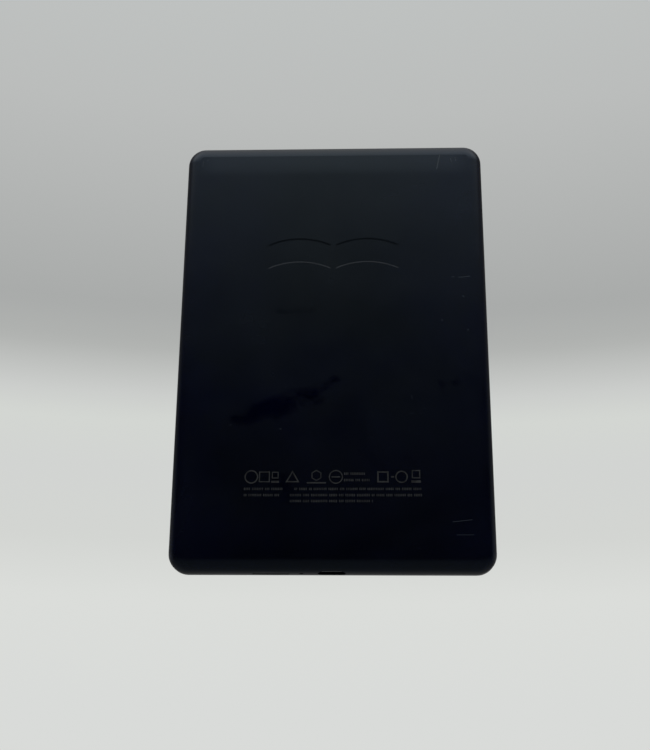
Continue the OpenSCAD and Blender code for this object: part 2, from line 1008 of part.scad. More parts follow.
module usb_shell() {
    leg_x = usb_w / 2 + 0.55;
    color([0.8, 0.81, 0.82])
        stand()
            union() {
                translate([0, 0, port_z])
                    along_height(usb_y, usb_y + usb_len)
                        difference() {
                            stadium(usb_w, usb_h);
                            stadium(usb_w - 2 * usb_t, usb_h - 2 * usb_t);
                        }
                for (side = [-1, 1], y = [5, usb_y + usb_len - 0.9])
                    block([1.8, 1.2], board_z - 0.2, board_z, [side * leg_x, y]);
            }
}

// Moulded tongue with the base that closes the shell.
module usb_tongue() {
    gap = 0.03;
    tongue_w = usb_w - 2.24;
    base_y = usb_y + usb_len - 2.1;
    color([0.12, 0.12, 0.12])
        stand()
            translate([0, 0, port_z])
                union() {
                    along_height(base_y, usb_y + usb_len)
                        stadium(usb_w - 2 * (usb_t + gap), usb_h - 2 * (usb_t + gap));
                    along_height(usb_y + 0.8, base_y)
                        square([tongue_w, 0.7], center = true);
                }
}

// Gold contacts on both faces of the tongue.
module usb_contacts() {
    contacts = 12;
    pitch = 0.5;
    size = [0.26, 0.06];
    color([0.9, 0.72, 0.35])
        stand()
            for (i = [0:contacts - 1], face = [-1, 1])
                translate([(i - (contacts - 1) / 2) * pitch, 0,
                    port_z + face * (0.35 + size.y / 2)])
                    along_height(usb_y + 1.3, usb_y + 4.6)
                        square(size, center = true);
}

// ---- Power button and status light ----

// Side-push switch, level with the board.
module switch_body() {
    hole_gap = 0.05;
    mid_y = switch_y + switch_l / 2;
    color([0.75, 0.75, 0.76])
        stand()
            difference() {
                union() {
                    block([switch_w, switch_l], port_z - switch_t / 2,
                        port_z + switch_t / 2, [button_x, mid_y]);
                    for (side = [-1, 1])
                        block([1.2, 1], board_z - 0.2, board_z,
                            [button_x + side * (switch_w / 2 + 0.4), mid_y]);
                }
                block([plunger_w + 2 * hole_gap, 3.6], port_z - plunger_t / 2 - hole_gap,
                    port_z + plunger_t / 2 + hole_gap, [button_x, switch_y]);
            }
}

// Plunger of the switch, which the button pushes in.
module switch_plunger() {
    length = switch_y - plunger_y + 0.95;
    color([0.15, 0.15, 0.15])
        stand()
            block([plunger_w, length], port_z - plunger_t / 2, port_z + plunger_t / 2,
                [button_x, plunger_y + length / 2]);
}

// Power button: cap, flange behind the wall, and the stem to the plunger.
module power_button() {
    flange_t = button_h + 0.2;
    flange_y = wall_t + 1.3;
    stem_end = plunger_y - 0.04;
    color([0.08, 0.1, 0.13])
        stand()
            union() {
                intersection() {
                    rolled_body(0.12, rim_z);
                    translate([button_x, 0, port_z])
                        along_height(-over, flange_y)
                            stadium(button_w, button_h);
                }
                intersection() {
                    rolled_body(wall_t + button_gap, rim_z);
                    block([flange_w, 2 * flange_y], port_z - flange_t / 2,
                        port_z + flange_t / 2, [button_x, 0]);
                }
                block([2, stem_end - wall_t], port_z - 0.6, port_z + 0.6,
                    [button_x, (stem_end + wall_t) / 2]);
            }
}

module status_lamp() {
    color([0.9, 0.9, 0.85])
        stand()
            chip([1.6, 1], 0.7, [light_x, tab_low_y + 0.6]);
}

// Clear pipe that carries the status lamp's light to the bottom edge.
module light_pipe() {
    foot = [1.8, 1.6];
    color([0.85, 0.88, 0.9])
        stand()
            union() {
                intersection() {
                    rolled_body(0.12, rim_z);
                    translate([light_x, 0, port_z])
                        along_height(-over, tab_low_y - 0.1)
                            circle(light_d / 2);
                }
                block(foot, board_z - 0.75, port_z + light_d / 2,
                    [light_x, tab_low_y - 0.1 - foot.y / 2]);
            }
}

rear_cover();
front_bezel();
bezel_adhesive();
display_gasket();
mid_frame();
chassis_screws();
touch_sheet();
light_guide();
ink_film();
display_glass();
driver_chip();
display_tape();
lamp_strip();
lamps();
display_ribbon();
touch_ribbon();
board_insulator();
main_board();
board_screws();
display_socket();
touch_socket();
lamp_socket();
processor_chip();
memory_chip();
storage_chip();
thermal_pad();
processor_shield();
power_chip();
power_coils();
power_shield();
radio_chip();
radio_shield();
board_crystal();
board_capacitors();
magnet_sensor();
battery_cell();
battery_board();
battery_tape();
battery_foam();
battery_lead();
battery_plug();
battery_socket();
antenna_carrier();
antenna_foil();
antenna_plug();
antenna_cable();
usb_shell();
usb_tongue();
usb_contacts();
switch_body();
switch_plunger();
power_button();
status_lamp();
light_pipe();
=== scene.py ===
# %% [markdown]
# # A six-inch e-reader
#
# The object is a thin e-reader seen mostly from behind: a rolled black shell with a
# sunk mark, small print near its foot, and a charging socket, a status light and a
# power button along the bottom edge. The other side holds a matt page in a frame.
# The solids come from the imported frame. This file gives them their finishes and adds
# the small things that only the eye needs, such as print and softened rims.

import json
import math

import bmesh
import bpy
from mathutils import Matrix, Vector


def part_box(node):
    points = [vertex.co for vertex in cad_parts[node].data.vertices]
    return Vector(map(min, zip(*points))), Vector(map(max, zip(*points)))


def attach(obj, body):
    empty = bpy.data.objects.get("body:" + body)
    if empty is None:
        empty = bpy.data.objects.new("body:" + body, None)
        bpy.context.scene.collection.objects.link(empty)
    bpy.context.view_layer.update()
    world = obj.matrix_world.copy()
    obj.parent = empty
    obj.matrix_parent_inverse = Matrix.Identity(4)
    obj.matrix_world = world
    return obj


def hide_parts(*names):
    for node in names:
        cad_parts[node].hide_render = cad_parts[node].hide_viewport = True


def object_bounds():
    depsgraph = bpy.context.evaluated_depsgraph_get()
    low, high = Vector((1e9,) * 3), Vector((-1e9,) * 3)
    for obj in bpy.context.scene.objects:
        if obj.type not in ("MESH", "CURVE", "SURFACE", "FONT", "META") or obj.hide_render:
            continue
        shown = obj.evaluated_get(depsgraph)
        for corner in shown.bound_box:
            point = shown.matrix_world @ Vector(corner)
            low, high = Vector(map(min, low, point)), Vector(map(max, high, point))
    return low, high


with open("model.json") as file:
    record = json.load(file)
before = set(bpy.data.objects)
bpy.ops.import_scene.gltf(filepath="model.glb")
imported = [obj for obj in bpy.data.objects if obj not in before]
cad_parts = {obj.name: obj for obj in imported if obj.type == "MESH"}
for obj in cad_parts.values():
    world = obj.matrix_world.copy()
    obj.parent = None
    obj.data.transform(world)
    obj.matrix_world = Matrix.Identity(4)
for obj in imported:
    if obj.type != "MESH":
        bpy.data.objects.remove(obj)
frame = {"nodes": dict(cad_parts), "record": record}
cad_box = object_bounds()
nodes = frame["nodes"]
print("frame:", len(nodes), "nodes, box", [round(v, 4) for c in cad_box for v in c])

# %% [markdown]
# ## Camera
#
# The reader stands upright and the camera looks up at its back from a little below,
# slightly from one side. A plain perspective lens at arm's length gives the gentle
# widening towards the foot. The camera is placed first, by its distance and angles
# from the middle of the body, so that every later choice can be judged through it.

# %% Camera
mm = 0.001
body_low, body_high = cad_box
body_middle = (body_low + body_high) / 2
camera_tilt = math.radians(-18.58)
camera_yaw = math.radians(-2.06)
camera_roll = math.radians(0.46)
camera_distance = 0.38508
camera_slide = (-0.00282, -0.00956)

toward_camera = Vector((math.sin(camera_yaw) * math.cos(camera_tilt),
                        math.cos(camera_yaw) * math.cos(camera_tilt),
                        math.sin(camera_tilt)))
level_right = Vector((0, 0, 1)).cross(toward_camera).normalized()
level_up = toward_camera.cross(level_right)
view_right = math.cos(camera_roll) * level_right + math.sin(camera_roll) * level_up
view_up = toward_camera.cross(view_right)

lens = bpy.data.cameras.new("camera")
lens.lens = 52.66
lens.sensor_width = 36
camera = bpy.data.objects.new("camera", lens)
bpy.context.scene.collection.objects.link(camera)
camera_at = (body_middle + camera_distance * toward_camera
             + camera_slide[0] * view_right + camera_slide[1] * view_up)
turn = Matrix((view_right, view_up, toward_camera)).transposed()
camera.matrix_world = Matrix.Translation(camera_at) @ turn.to_4x4()
lens.dof.use_dof = False
lens.clip_start = 0.005
bpy.context.scene.camera = camera
print("camera at", [round(v, 4) for v in camera_at], "lens", lens.lens)

# %% [markdown]
# ## Floor and room
#
# The floor is a plain pale sheet. It is painted on its upper side only, like a
# one-way mirror, so that the camera below its level still sees the reader. The room
# is a soft gradient: what the camera sees is a pale backdrop with painted shade, which
# darkens it from about seventeen degrees up to a darkest band at twenty-two degrees, and
# what the glossy skin reflects is dark low down behind the camera and bright overhead.

# %% Helpers for node trees
def add_node(tree, kind, settings=None, **inputs):
    """One node, with its settings and the values of its inputs."""
    made = tree.nodes.new(kind)
    for name, value in (settings or {}).items():
        setattr(made, name, value)
    for name, value in inputs.items():
        key = int(name[1:]) if name[1:].isdigit() else name.replace("_", " ")
        if isinstance(value, bpy.types.NodeSocket):
            tree.links.new(value, made.inputs[key])
        else:
            made.inputs[key].default_value = value
    return made


def math_node(tree, operation, *values, clamp=False):
    """The result of one sum, whose values are numbers or sockets."""
    inputs = {"i%d" % place: value for place, value in enumerate(values)}
    made = add_node(tree, "ShaderNodeMath", {"operation": operation, "use_clamp": clamp}, **inputs)
    return made.outputs[0]


def ramp(tree, factor, stops):
    """A colour ramp with stops of (place, colour or grey)."""
    made = add_node(tree, "ShaderNodeValToRGB", Fac=factor)
    points = made.color_ramp.elements
    for place, colour in stops[2:]:
        points.new(place)
    for point, (place, colour) in zip(points, stops):
        point.position = place
    for point, (place, colour) in zip(points, stops):
        grey = isinstance(colour, (int, float))
        point.color = (colour, colour, colour, 1) if grey else (*colour, 1)
    return made.outputs["Color"]


def linear(red, green, blue):
    """A screen colour of 0 to 255 as linear light."""
    return tuple(((c / 255 + 0.055) / 1.055) ** 2.4 if c > 10 else c / 255 / 12.92
                 for c in (red, green, blue))


# %% [markdown]
# ## The floor
#
# A studio floor for small goods is a sheet of pale matt board. One large plane does it,
# with a faint cloudiness so that it is not a flat colour. It turns clear with distance,
# which melts it into the backdrop where a real sheet would curve upwards.

# %% Floor
floor_size = 6.0
floor_gap = 0.05 * mm
clear_from, clear_to = 0.45, 1.6
bpy.ops.object.select_all(action="DESELECT")
bpy.ops.mesh.primitive_plane_add(size=floor_size, location=(0, 0, -floor_gap))
floor = bpy.context.object
floor.name = "floor"
paint = bpy.data.materials.new("floor_paint")
paint.use_nodes = True
tree = paint.node_tree
skin = tree.nodes["Principled BSDF"]
place = add_node(tree, "ShaderNodeTexCoord").outputs["Object"]
cloud = add_node(tree, "ShaderNodeTexNoise", Vector=place, Scale=9.0, Detail=3.0).outputs["Fac"]
tree.links.new(ramp(tree, cloud, [(0.3, (0.66, 0.67, 0.66)), (0.7, (0.69, 0.7, 0.69))]),
               skin.inputs["Base Color"])
skin.inputs["Roughness"].default_value = 0.6
nothing = add_node(tree, "ShaderNodeBsdfTransparent").outputs[0]
beneath = add_node(tree, "ShaderNodeNewGeometry").outputs["Backfacing"]
distance = add_node(tree, "ShaderNodeVectorMath", {"operation": "LENGTH"}, i0=place)
far_off = add_node(tree, "ShaderNodeMapRange", Value=distance.outputs["Value"])
far_off.inputs["From Min"].default_value = clear_from
far_off.inputs["From Max"].default_value = clear_to
unseen = math_node(tree, "MAXIMUM", beneath, far_off.outputs[0])
one_way = add_node(tree, "ShaderNodeMixShader", i0=unseen, i1=skin.outputs[0], i2=nothing)
tree.links.new(one_way.outputs[0], tree.nodes["Material Output"].inputs["Surface"])
floor.data.materials.append(paint)
floor.visible_glossy = False
print("floor:", floor_size, "m wide, clear beyond", clear_to, "m")

# %% [markdown]
# ## The room
#
# A dark glossy thing is lit by what it mirrors, so the room matters more than the
# lamps. A gradient by height is the simplest room that can be shaped stop by stop.
# Three large softboxes then add soft shadows, and are hidden from the gloss.

# %% Room light
def stop(degrees, colour):
    """A stop of a gradient by height, at that many degrees above the horizon."""
    return (0.5 + 0.5 * math.sin(math.radians(degrees)), colour)


room_power = 1.35
room = bpy.data.worlds.new("room")
bpy.context.scene.world = room
room.use_nodes = True
tree = room.node_tree
tree.nodes.clear()
toward = add_node(tree, "ShaderNodeTexCoord").outputs["Generated"]
split = add_node(tree, "ShaderNodeSeparateXYZ", Vector=toward)
height = split.outputs["Z"]
lift = math_node(tree, "MULTIPLY_ADD", height, 0.5, 0.5, clamp=True)
# Painted shade: the backdrop that the camera sees darkens from about 17 degrees up, darkest in a
# band at 22 degrees, and is lightest low down.
painted_backdrop = ramp(tree, lift, [
    stop(-30, linear(215, 217, 214)),
    stop(2, linear(217, 219, 217)),
    stop(7, linear(219, 221, 218)),
    stop(10, linear(211, 213, 210)),
    stop(13.5, linear(210, 212, 210)),
    stop(16, linear(211, 214, 210)),
    stop(17.3, linear(203, 205, 203)),
    stop(18.6, linear(190, 192, 190)),
    stop(19.8, linear(176, 178, 176)),
    stop(21.8, linear(169, 171, 170)),
    stop(25, linear(175, 177, 176)),
    stop(32, linear(187, 189, 188)),
    stop(38, linear(191, 194, 193)),
])
behind_camera = ramp(tree, lift, [
    stop(-90, 0.10),
    stop(-30, 0.08),
    stop(-18, 0.055),
    stop(-9, 0.0),
    stop(20, 0.0),
    stop(25, (0.095, 0.096, 0.092)),
    stop(30, (0.35, 0.36, 0.345)),
    stop(38, (0.79, 0.80, 0.77)),
    stop(48, (1.0, 0.97, 0.93)),
    stop(62, (0.94, 0.92, 0.88)),
    stop(82, (0.70, 0.69, 0.67)),
])
elsewhere = ramp(tree, lift, [
    stop(-90, 0.10),
    stop(-55, 0.14),
    stop(-20, 0.08),
    stop(3, 0.19),
    stop(13, 0.06),
    stop(38, 0.08),
    stop(60, 0.22),
    stop(82, 0.45),
])
frontal = math_node(tree, "MULTIPLY_ADD", split.outputs["Y"], 2.4, 0.5, clamp=True)
surround = add_node(tree, "ShaderNodeMix", {"data_type": "RGBA"})
tree.links.new(frontal, surround.inputs[0])
tree.links.new(elsewhere, surround.inputs[6])
tree.links.new(behind_camera, surround.inputs[7])
seen = add_node(tree, "ShaderNodeBackground", Color=painted_backdrop, Strength=1.0)
lit = add_node(tree, "ShaderNodeBackground", Color=surround.outputs[2], Strength=room_power)
to_camera = add_node(tree, "ShaderNodeLightPath").outputs["Is Camera Ray"]
mixed = add_node(tree, "ShaderNodeMixShader", i0=to_camera, i1=lit.outputs[0], i2=seen.outputs[0])
output = add_node(tree, "ShaderNodeOutputWorld")
tree.links.new(mixed.outputs[0], output.inputs["Surface"])
bpy.context.scene.view_settings.view_transform = "Standard"


def softbox(name, at, aim, size, power):
    """A square soft light at a place, aimed at a point."""
    light = bpy.data.lights.new(name, "AREA")
    light.size = size
    light.energy = power
    made = bpy.data.objects.new(name, light)
    bpy.context.scene.collection.objects.link(made)
    made.location = at
    made.rotation_mode = "QUATERNION"
    made.rotation_quaternion = (Vector(at) - Vector(aim)).to_track_quat("Z", "Y")
    return made


near_middle = (0, 0, 0.08)
softboxes = [
    softbox("overhead", (0.1, 0.1, 1.1), near_middle, 0.8, 3),
    softbox("screen_side", (-0.5, -0.9, 0.8), near_middle, 0.7, 6),
    softbox("ceiling", (0, 0, 1.6), (0, 0, 0), 2.6, 22),
]
for light in softboxes:
    light.visible_glossy = False
print("softboxes:", [light.name for light in softboxes])

# %% [markdown]
# ## How the finishes are made
#
# Each finish is a Principled shader in the object's own coordinates, which are metres
# here. A pattern's scale is therefore one over the size of its features: 0.25 mm grain
# is noise at a scale of 4000. Relief is given in real depths, a few thousandths of a
# millimetre for moulded grain. One short helper does each of these jobs.

# %% Helpers for finishes
slot_of = {part["node"]: part["material_slot"] for part in frame["record"]["subparts"]}
finishes = {}


def start_finish(slot, roughness, metallic=0.0, level=0.5, alpha=1.0, coat=0.0,
                 gloss_tint=(1, 1, 1)):
    """A new finish for one material slot: its tree, its shader and its coordinates."""
    made = bpy.data.materials.new(slot)
    made.use_nodes = True
    skin = made.node_tree.nodes["Principled BSDF"]
    skin.inputs["Roughness"].default_value = roughness
    skin.inputs["Metallic"].default_value = metallic
    skin.inputs["Specular IOR Level"].default_value = level
    skin.inputs["Alpha"].default_value = alpha
    skin.inputs["Coat Weight"].default_value = coat
    skin.inputs["Specular Tint"].default_value = (*gloss_tint, 1)
    finishes[slot] = made
    print("finish:", slot)
    place = add_node(made.node_tree, "ShaderNodeTexCoord").outputs["Object"]
    return made.node_tree, skin, place


def stretched(tree, place, x, y, z):
    """The same coordinates, longer or shorter along each axis."""
    made = add_node(tree, "ShaderNodeMapping", Vector=place)
    made.inputs["Scale"].default_value = (x, y, z)
    return made.outputs[0]


def grain(tree, place, size, detail=2.0, sharp=0.5, warp=0.0):
    """Noise from 0 to 1 with features of that size in metres."""
    made = add_node(tree, "ShaderNodeTexNoise", Vector=place, Scale=1.0 / size, Detail=detail,
                    Roughness=sharp, Distortion=warp)
    return made.outputs["Fac"]


def cells(tree, place, size, feature="F1"):
    """Distance inside cells of that size in metres."""
    made = add_node(tree, "ShaderNodeTexVoronoi", {"feature": feature}, Vector=place,
                    Scale=1.0 / size)
    return made.outputs["Distance"]


def stripes(tree, place, size, axis, warp=0.0):
    """Bands that repeat every size metres along one axis."""
    settings = {"wave_type": "BANDS", "bands_direction": axis, "wave_profile": "SIN"}
    made = add_node(tree, "ShaderNodeTexWave", settings, Vector=place,
                    Scale=math.pi / (10 * size), Distortion=warp)
    return made.outputs["Fac"]


def fade(tree, value, low, high, to_low=0.0, to_high=1.0, way="LINEAR"):
    """Maps low to high onto to_low to to_high, and holds beyond them."""
    made = add_node(tree, "ShaderNodeMapRange", {"interpolation_type": way}, Value=value)
    for name, number in zip(("From Min", "From Max", "To Min", "To Max"),
                            (low, high, to_low, to_high)):
        made.inputs[name].default_value = number
    return made.outputs[0]


def blend_colours(tree, share, first, second):
    """first where share is 0 and second where it is 1; each is a colour or a socket."""
    made = add_node(tree, "ShaderNodeMix", {"data_type": "RGBA"}, i0=share)
    for place, colour in ((6, first), (7, second)):
        if isinstance(colour, bpy.types.NodeSocket):
            tree.links.new(colour, made.inputs[place])
        else:
            made.inputs[place].default_value = (*colour, 1)
    return made.outputs[2]


def relief(tree, skin, *layers):
    """Bump layers of (height from 0 to 1, depth in metres) on the shader's normal."""
    normal = None
    for height, depth in layers:
        made = add_node(tree, "ShaderNodeBump", Strength=1.0, Distance=depth, Height=height)
        if normal:
            tree.links.new(normal, made.inputs["Normal"])
        normal = made.outputs[0]
    tree.links.new(normal, skin.inputs["Normal"])


def colour_of(tree, skin, socket):
    """Gives the shader its colour."""
    tree.links.new(socket, skin.inputs["Base Color"])


def roughness_of(tree, skin, socket):
    """Gives the shader its roughness."""
    tree.links.new(socket, skin.inputs["Roughness"])


def near_line(tree, place, start, end, width):
    """1 on a straight line between two (x, z) points in mm, falling to 0 at its width."""
    first = Vector((start[0], 0, start[1])) * mm
    along = Vector((end[0], 0, end[1])) * mm - first
    offset = add_node(tree, "ShaderNodeVectorMath", {"operation": "SUBTRACT"}, i0=place, i1=first)
    share = add_node(tree, "ShaderNodeVectorMath", {"operation": "DOT_PRODUCT"},
                     i0=offset.outputs[0], i1=along / along.length_squared)
    held = math_node(tree, "MULTIPLY", share.outputs["Value"], 1.0, clamp=True)
    foot = add_node(tree, "ShaderNodeVectorMath", {"operation": "SCALE"}, i0=along)
    tree.links.new(held, foot.inputs["Scale"])
    gap = add_node(tree, "ShaderNodeVectorMath", {"operation": "DISTANCE"},
                   i0=offset.outputs[0], i1=foot.outputs[0])
    return fade(tree, gap.outputs["Value"], 0.0, width * mm, 1.0, 0.0)


def any_of(tree, masks):
    """The strongest of several masks."""
    strongest = masks[0]
    for mask in masks[1:]:
        strongest = math_node(tree, "MAXIMUM", strongest, mask)
    return strongest


# %% [markdown]
# ## The rear shell
#
# The shell is moulded in a blue-black plastic with a fine matt grain. In use it picks
# up hairline scratches near its corners and a greasy smear below the middle, where
# fingers rest. A smear fills the grain, so it is smoother and reflects the dark part
# of the room. Scratches break the skin: they are rougher, a little lighter and sunk.
# The flat also bows very slightly towards the rolled edges, as moulded covers do. That
# is under half a millimetre, so it is a wide soft relief and not a change of shape.

# %% Rear shell skin
tree, skin, place = start_finish("cover_plastic", 0.25, gloss_tint=(0.62, 0.80, 1.0))
flat = stretched(tree, place, 1, 0, 1)
axes = add_node(tree, "ShaderNodeSeparateXYZ", Vector=place)
from_middle = math_node(tree, "ABSOLUTE", axes.outputs["X"])
# The base colour is bluer towards the sides and below the middle, in slow clouds.
bluer = math_node(tree, "MAXIMUM", fade(tree, from_middle, 12 * mm, 50 * mm, 0.25, 1.0),
                  fade(tree, axes.outputs["Z"], 70 * mm, 105 * mm, 0.7, 0.0))
cloudy = grain(tree, place, 22 * mm, 3.0, 0.55, 0.4)
hue = math_node(tree, "MULTIPLY", bluer, fade(tree, cloudy, 0.3, 0.7, 0.6, 1.3), clamp=True)
plastic = blend_colours(tree, hue, (0.0002, 0.0006, 0.0010), (0.0001, 0.0004, 0.0058))

scratches = [
    ((-38.9, 152.8), (-37.7, 147.1), 0.17, 1.0),
    ((-42.9, 151.5), (-43.2, 149.9), 0.13, 0.6),
    ((-44.6, 151.9), (-44.8, 150.2), 0.12, 0.7),
    ((-44.4, 103.8), (-48.3, 104.2), 0.13, 0.55),
    ((-41.9, 104.0), (-42.9, 104.0), 0.10, 0.4),
    ((-39.8, 16.5), (-46.1, 17.2), 0.13, 0.5),
    ((-41.0, 12.2), (-46.6, 12.2), 0.13, 0.4),
    ((-45.6, 96.6), (-46.0, 96.5), 0.20, 0.5),
    ((-38.0, 87.6), (-38.3, 87.6), 0.18, 0.5),
    ((-46.9, 83.8), (-47.1, 84.1), 0.18, 0.5),
    ((17.7, 48.2), (17.5, 48.3), 0.18, 0.8),
    ((34.3, 49.9), (34.9, 49.6), 0.12, 0.3),
    ((48.2, 151.2), (48.4, 148.8), 0.12, 0.4),
    ((46.3, 151.8), (46.9, 151.3), 0.12, 0.4),
    ((-27.0, 60.1), (-27.2, 58.9), 0.12, 0.3),
]
wobble = grain(tree, place, 1.2 * mm, 1.0)
shaken = add_node(tree, "ShaderNodeVectorMath", {"operation": "SCALE"}, i0=flat)
tree.links.new(fade(tree, wobble, 0.0, 1.0, 0.9988, 1.0012), shaken.inputs["Scale"])
scuffed = any_of(tree, [
    math_node(tree, "MULTIPLY", near_line(tree, shaken.outputs[0], start, end, width), depth)
    for start, end, width, depth in scratches])
hairs = grain(tree, stretched(tree, place, 1, 1, 14), 3 * mm, 1.0)
hairs = fade(tree, hairs, 0.72, 0.80, 0.0, 0.05)
worn = math_node(tree, "MAXIMUM", scuffed, hairs)
colour_of(tree, skin, blend_colours(tree, worn, plastic, (0.045, 0.05, 0.055)))

smear_edge = grain(tree, place, 6 * mm, 3.0, 0.55, 0.8)
smear_path = [
    ((31.5, 52.3), (21.3, 55.4), 4.6, 1.0),
    ((21.3, 55.4), (11.6, 59.0), 5.4, 1.0),
    ((11.6, 59.0), (5.7, 60.0), 4.8, 0.9),
    ((5.7, 60.0), (-0.9, 65.6), 3.0, 0.6),
    ((-38.5, 64.4), (-41.5, 64.8), 3.6, 0.6),
    ((-25.0, 38.5), (-26.5, 37.4), 3.4, 0.5),
    ((19.0, 91.0), (8.0, 91.6), 2.6, 0.4),
    ((17.0, 30.5), (15.5, 26.0), 4.2, 0.6),
]
smear = any_of(tree, [
    math_node(tree, "MULTIPLY", near_line(tree, flat, start, end, width), strength)
    for start, end, width, strength in smear_path])
smear = math_node(tree, "MULTIPLY", smear, fade(tree, smear_edge, 0.36, 0.60, 0.25, 1.0))
smear = fade(tree, smear, 0.10, 0.60, 0.0, 0.85)
handled = fade(tree, grain(tree, place, 30 * mm, 4.0, 0.6, 0.8), 0.3, 0.7, 0.22, 0.28)
dull = math_node(tree, "ADD", handled, math_node(tree, "MULTIPLY", worn, 0.25))
polished = math_node(tree, "MULTIPLY", smear, 0.16)
roughness_of(tree, skin, math_node(tree, "SUBTRACT", dull, polished))
half_wide = body_high.x
half_high = body_middle.z
ease_w = 13.0 * mm
ease_deep = 0.32 * mm
above_middle = math_node(tree, "SUBTRACT", axes.outputs["Z"], half_high)
up_or_down = math_node(tree, "ABSOLUTE", above_middle)
easing = math_node(
    tree, "MULTIPLY",
    fade(tree, from_middle, half_wide - ease_w, half_wide, 1.0, 0.0, "SMOOTHSTEP"),
    fade(tree, up_or_down, half_high - ease_w, half_high, 1.0, 0.0, "SMOOTHSTEP"))
unsmeared = math_node(tree, "SUBTRACT", 1.0, smear)
fine = math_node(tree, "MULTIPLY", grain(tree, place, 0.16 * mm, 2.0, 0.6), unsmeared)
relief(tree, skin,
       (easing, ease_deep),
       (grain(tree, place, 9 * mm, 1.0), 0.02 * mm),
       (fine, 0.006 * mm),
       (math_node(tree, "SUBTRACT", 1.0, scuffed), 0.03 * mm))
print("rear shell:", len(scratches), "scratches,", len(tree.nodes), "nodes")

# %% [markdown]
# ## Bezel and button
#
# The frame around the page comes from another mould with a finer, drier grain and no
# blue in it. Its roughness wanders a little in slow patches. The power button is the same
# plastic as the shell, polished by fingertips, with fine lines along its length.

# %% Bezel skin
tree, skin, place = start_finish("bezel_plastic", 0.5)
cloudy = grain(tree, place, 14 * mm, 3.0)
colour_of(tree, skin, blend_colours(tree, cloudy, (0.0055, 0.0065, 0.0075),
                                    (0.0075, 0.0085, 0.0098)))
handled = fade(tree, grain(tree, place, 18 * mm, 4.0, 0.6, 0.6), 0.3, 0.7, 0.46, 0.56)
roughness_of(tree, skin, handled)
relief(tree, skin,
       (grain(tree, place, 0.35 * mm, 3.0, 0.6), 0.008 * mm),
       (cells(tree, place, 0.12 * mm), 0.003 * mm))

# %% [markdown]
# ## The button skin
#
# Fingers polish a button along its length. Stretched noise makes the fine lines, and a
# slower noise decides where the shine is. The colours stay a shade above the shell,
# because a small part is moulded from another batch.

# %% Button skin
tree, skin, place = start_finish("button_plastic", 0.36, gloss_tint=(0.66, 0.82, 1.0))
rubbed = grain(tree, place, 3 * mm, 3.0, 0.5, 0.5)
colour_of(tree, skin, blend_colours(tree, rubbed, (0.0015, 0.0028, 0.0050),
                                    (0.0030, 0.0045, 0.0070)))
roughness_of(tree, skin, fade(tree, rubbed, 0.3, 0.7, 0.30, 0.42))
along = grain(tree, stretched(tree, place, 0.08, 1, 1), 0.12 * mm, 2.0)
relief(tree, skin, (along, 0.004 * mm), (grain(tree, place, 0.2 * mm), 0.003 * mm))

# %% [markdown]
# ## The page and the layers above it
#
# An electronic ink page is a layer of tiny white and black capsules, so up close it is
# never one grey: it has a fine salt of specks and keeps a faint ghost of the lines that
# it showed before. Over it lie a clear light guide with rows of moulded dots and a
# matt touch sheet, which is nearly clear but scatters what it reflects.

# %% Ink layer
tree, skin, place = start_finish("ink_layer", 0.75, level=0.3)
capsules = cells(tree, place, 0.11 * mm)
mottle = grain(tree, place, 16 * mm, 3.0)
ghost_lines = stripes(tree, place, 5.2 * mm, "Z")
ghost_words = grain(tree, stretched(tree, place, 1, 1, 0.05), 3.5 * mm, 1.0)
ghost = math_node(tree, "MULTIPLY", fade(tree, ghost_lines, 0.55, 0.75),
                  fade(tree, ghost_words, 0.47, 0.52))
paper = blend_colours(tree, fade(tree, capsules, 0.2, 0.8), (0.60, 0.605, 0.57), (0.52, 0.525, 0.49))
paper = blend_colours(tree, fade(tree, mottle, 0.3, 0.7, 0.0, 0.35), paper, (0.46, 0.47, 0.44))
paper = blend_colours(tree, math_node(tree, "MULTIPLY", ghost, 0.10), paper, (0.25, 0.26, 0.25))
colour_of(tree, skin, paper)
relief(tree, skin, (capsules, 0.004 * mm))

# %% [markdown]
# ## The touch sheet
#
# The sheet that a finger meets is etched so that a lamp leaves only a soft patch on it.
# Very fine relief does the etching. It is part clear, so the page shows through, and
# slow smudges change its roughness.

# %% Touch sheet
tree, skin, place = start_finish("touch_film", 0.42, level=0.4, alpha=0.3)
etched = grain(tree, place, 0.09 * mm, 2.0, 0.6)
smudged = grain(tree, place, 24 * mm, 4.0, 0.6, 1.0)
colour_of(tree, skin, blend_colours(tree, smudged, (0.42, 0.43, 0.41), (0.47, 0.475, 0.45)))
roughness_of(tree, skin, fade(tree, smudged, 0.3, 0.7, 0.36, 0.48))
relief(tree, skin, (etched, 0.004 * mm))

# %% [markdown]
# ## The light guide
#
# Light enters this clear plate at its edge and leaves it at moulded dots. Cells of one
# size, cut off at a radius, give round dots that are rougher and brighter than the
# plate.

# %% Clear plastic
tree, skin, place = start_finish("clear_plastic", 0.12, level=0.5, alpha=0.16)
dots = fade(tree, cells(tree, place, 0.6 * mm), 0.18, 0.26, 1.0, 0.0)
colour_of(tree, skin, blend_colours(tree, dots, (0.78, 0.83, 0.86), (0.92, 0.95, 0.96)))
roughness_of(tree, skin, fade(tree, dots, 0.0, 1.0, 0.10, 0.35))
relief(tree, skin, (dots, 0.01 * mm))

# %% [markdown]
# ## The backplane
#
# The glass at the back of the page carries a grid of thin wiring, one cell to each dot
# of the page. Two sets of stripes multiplied make that grid, almost without relief.

# %% Backplane glass
tree, skin, place = start_finish("backplane_glass", 0.08, level=0.6)
wiring = math_node(tree, "MULTIPLY", stripes(tree, place, 0.35 * mm, "X"),
                   stripes(tree, place, 0.35 * mm, "Z"))
colour_of(tree, skin, blend_colours(tree, wiring, (0.055, 0.075, 0.07), (0.16, 0.19, 0.17)))
roughness_of(tree, skin, fade(tree, grain(tree, place, 12 * mm, 3.0), 0.3, 0.7, 0.05, 0.16))
relief(tree, skin, (wiring, 0.0015 * mm))

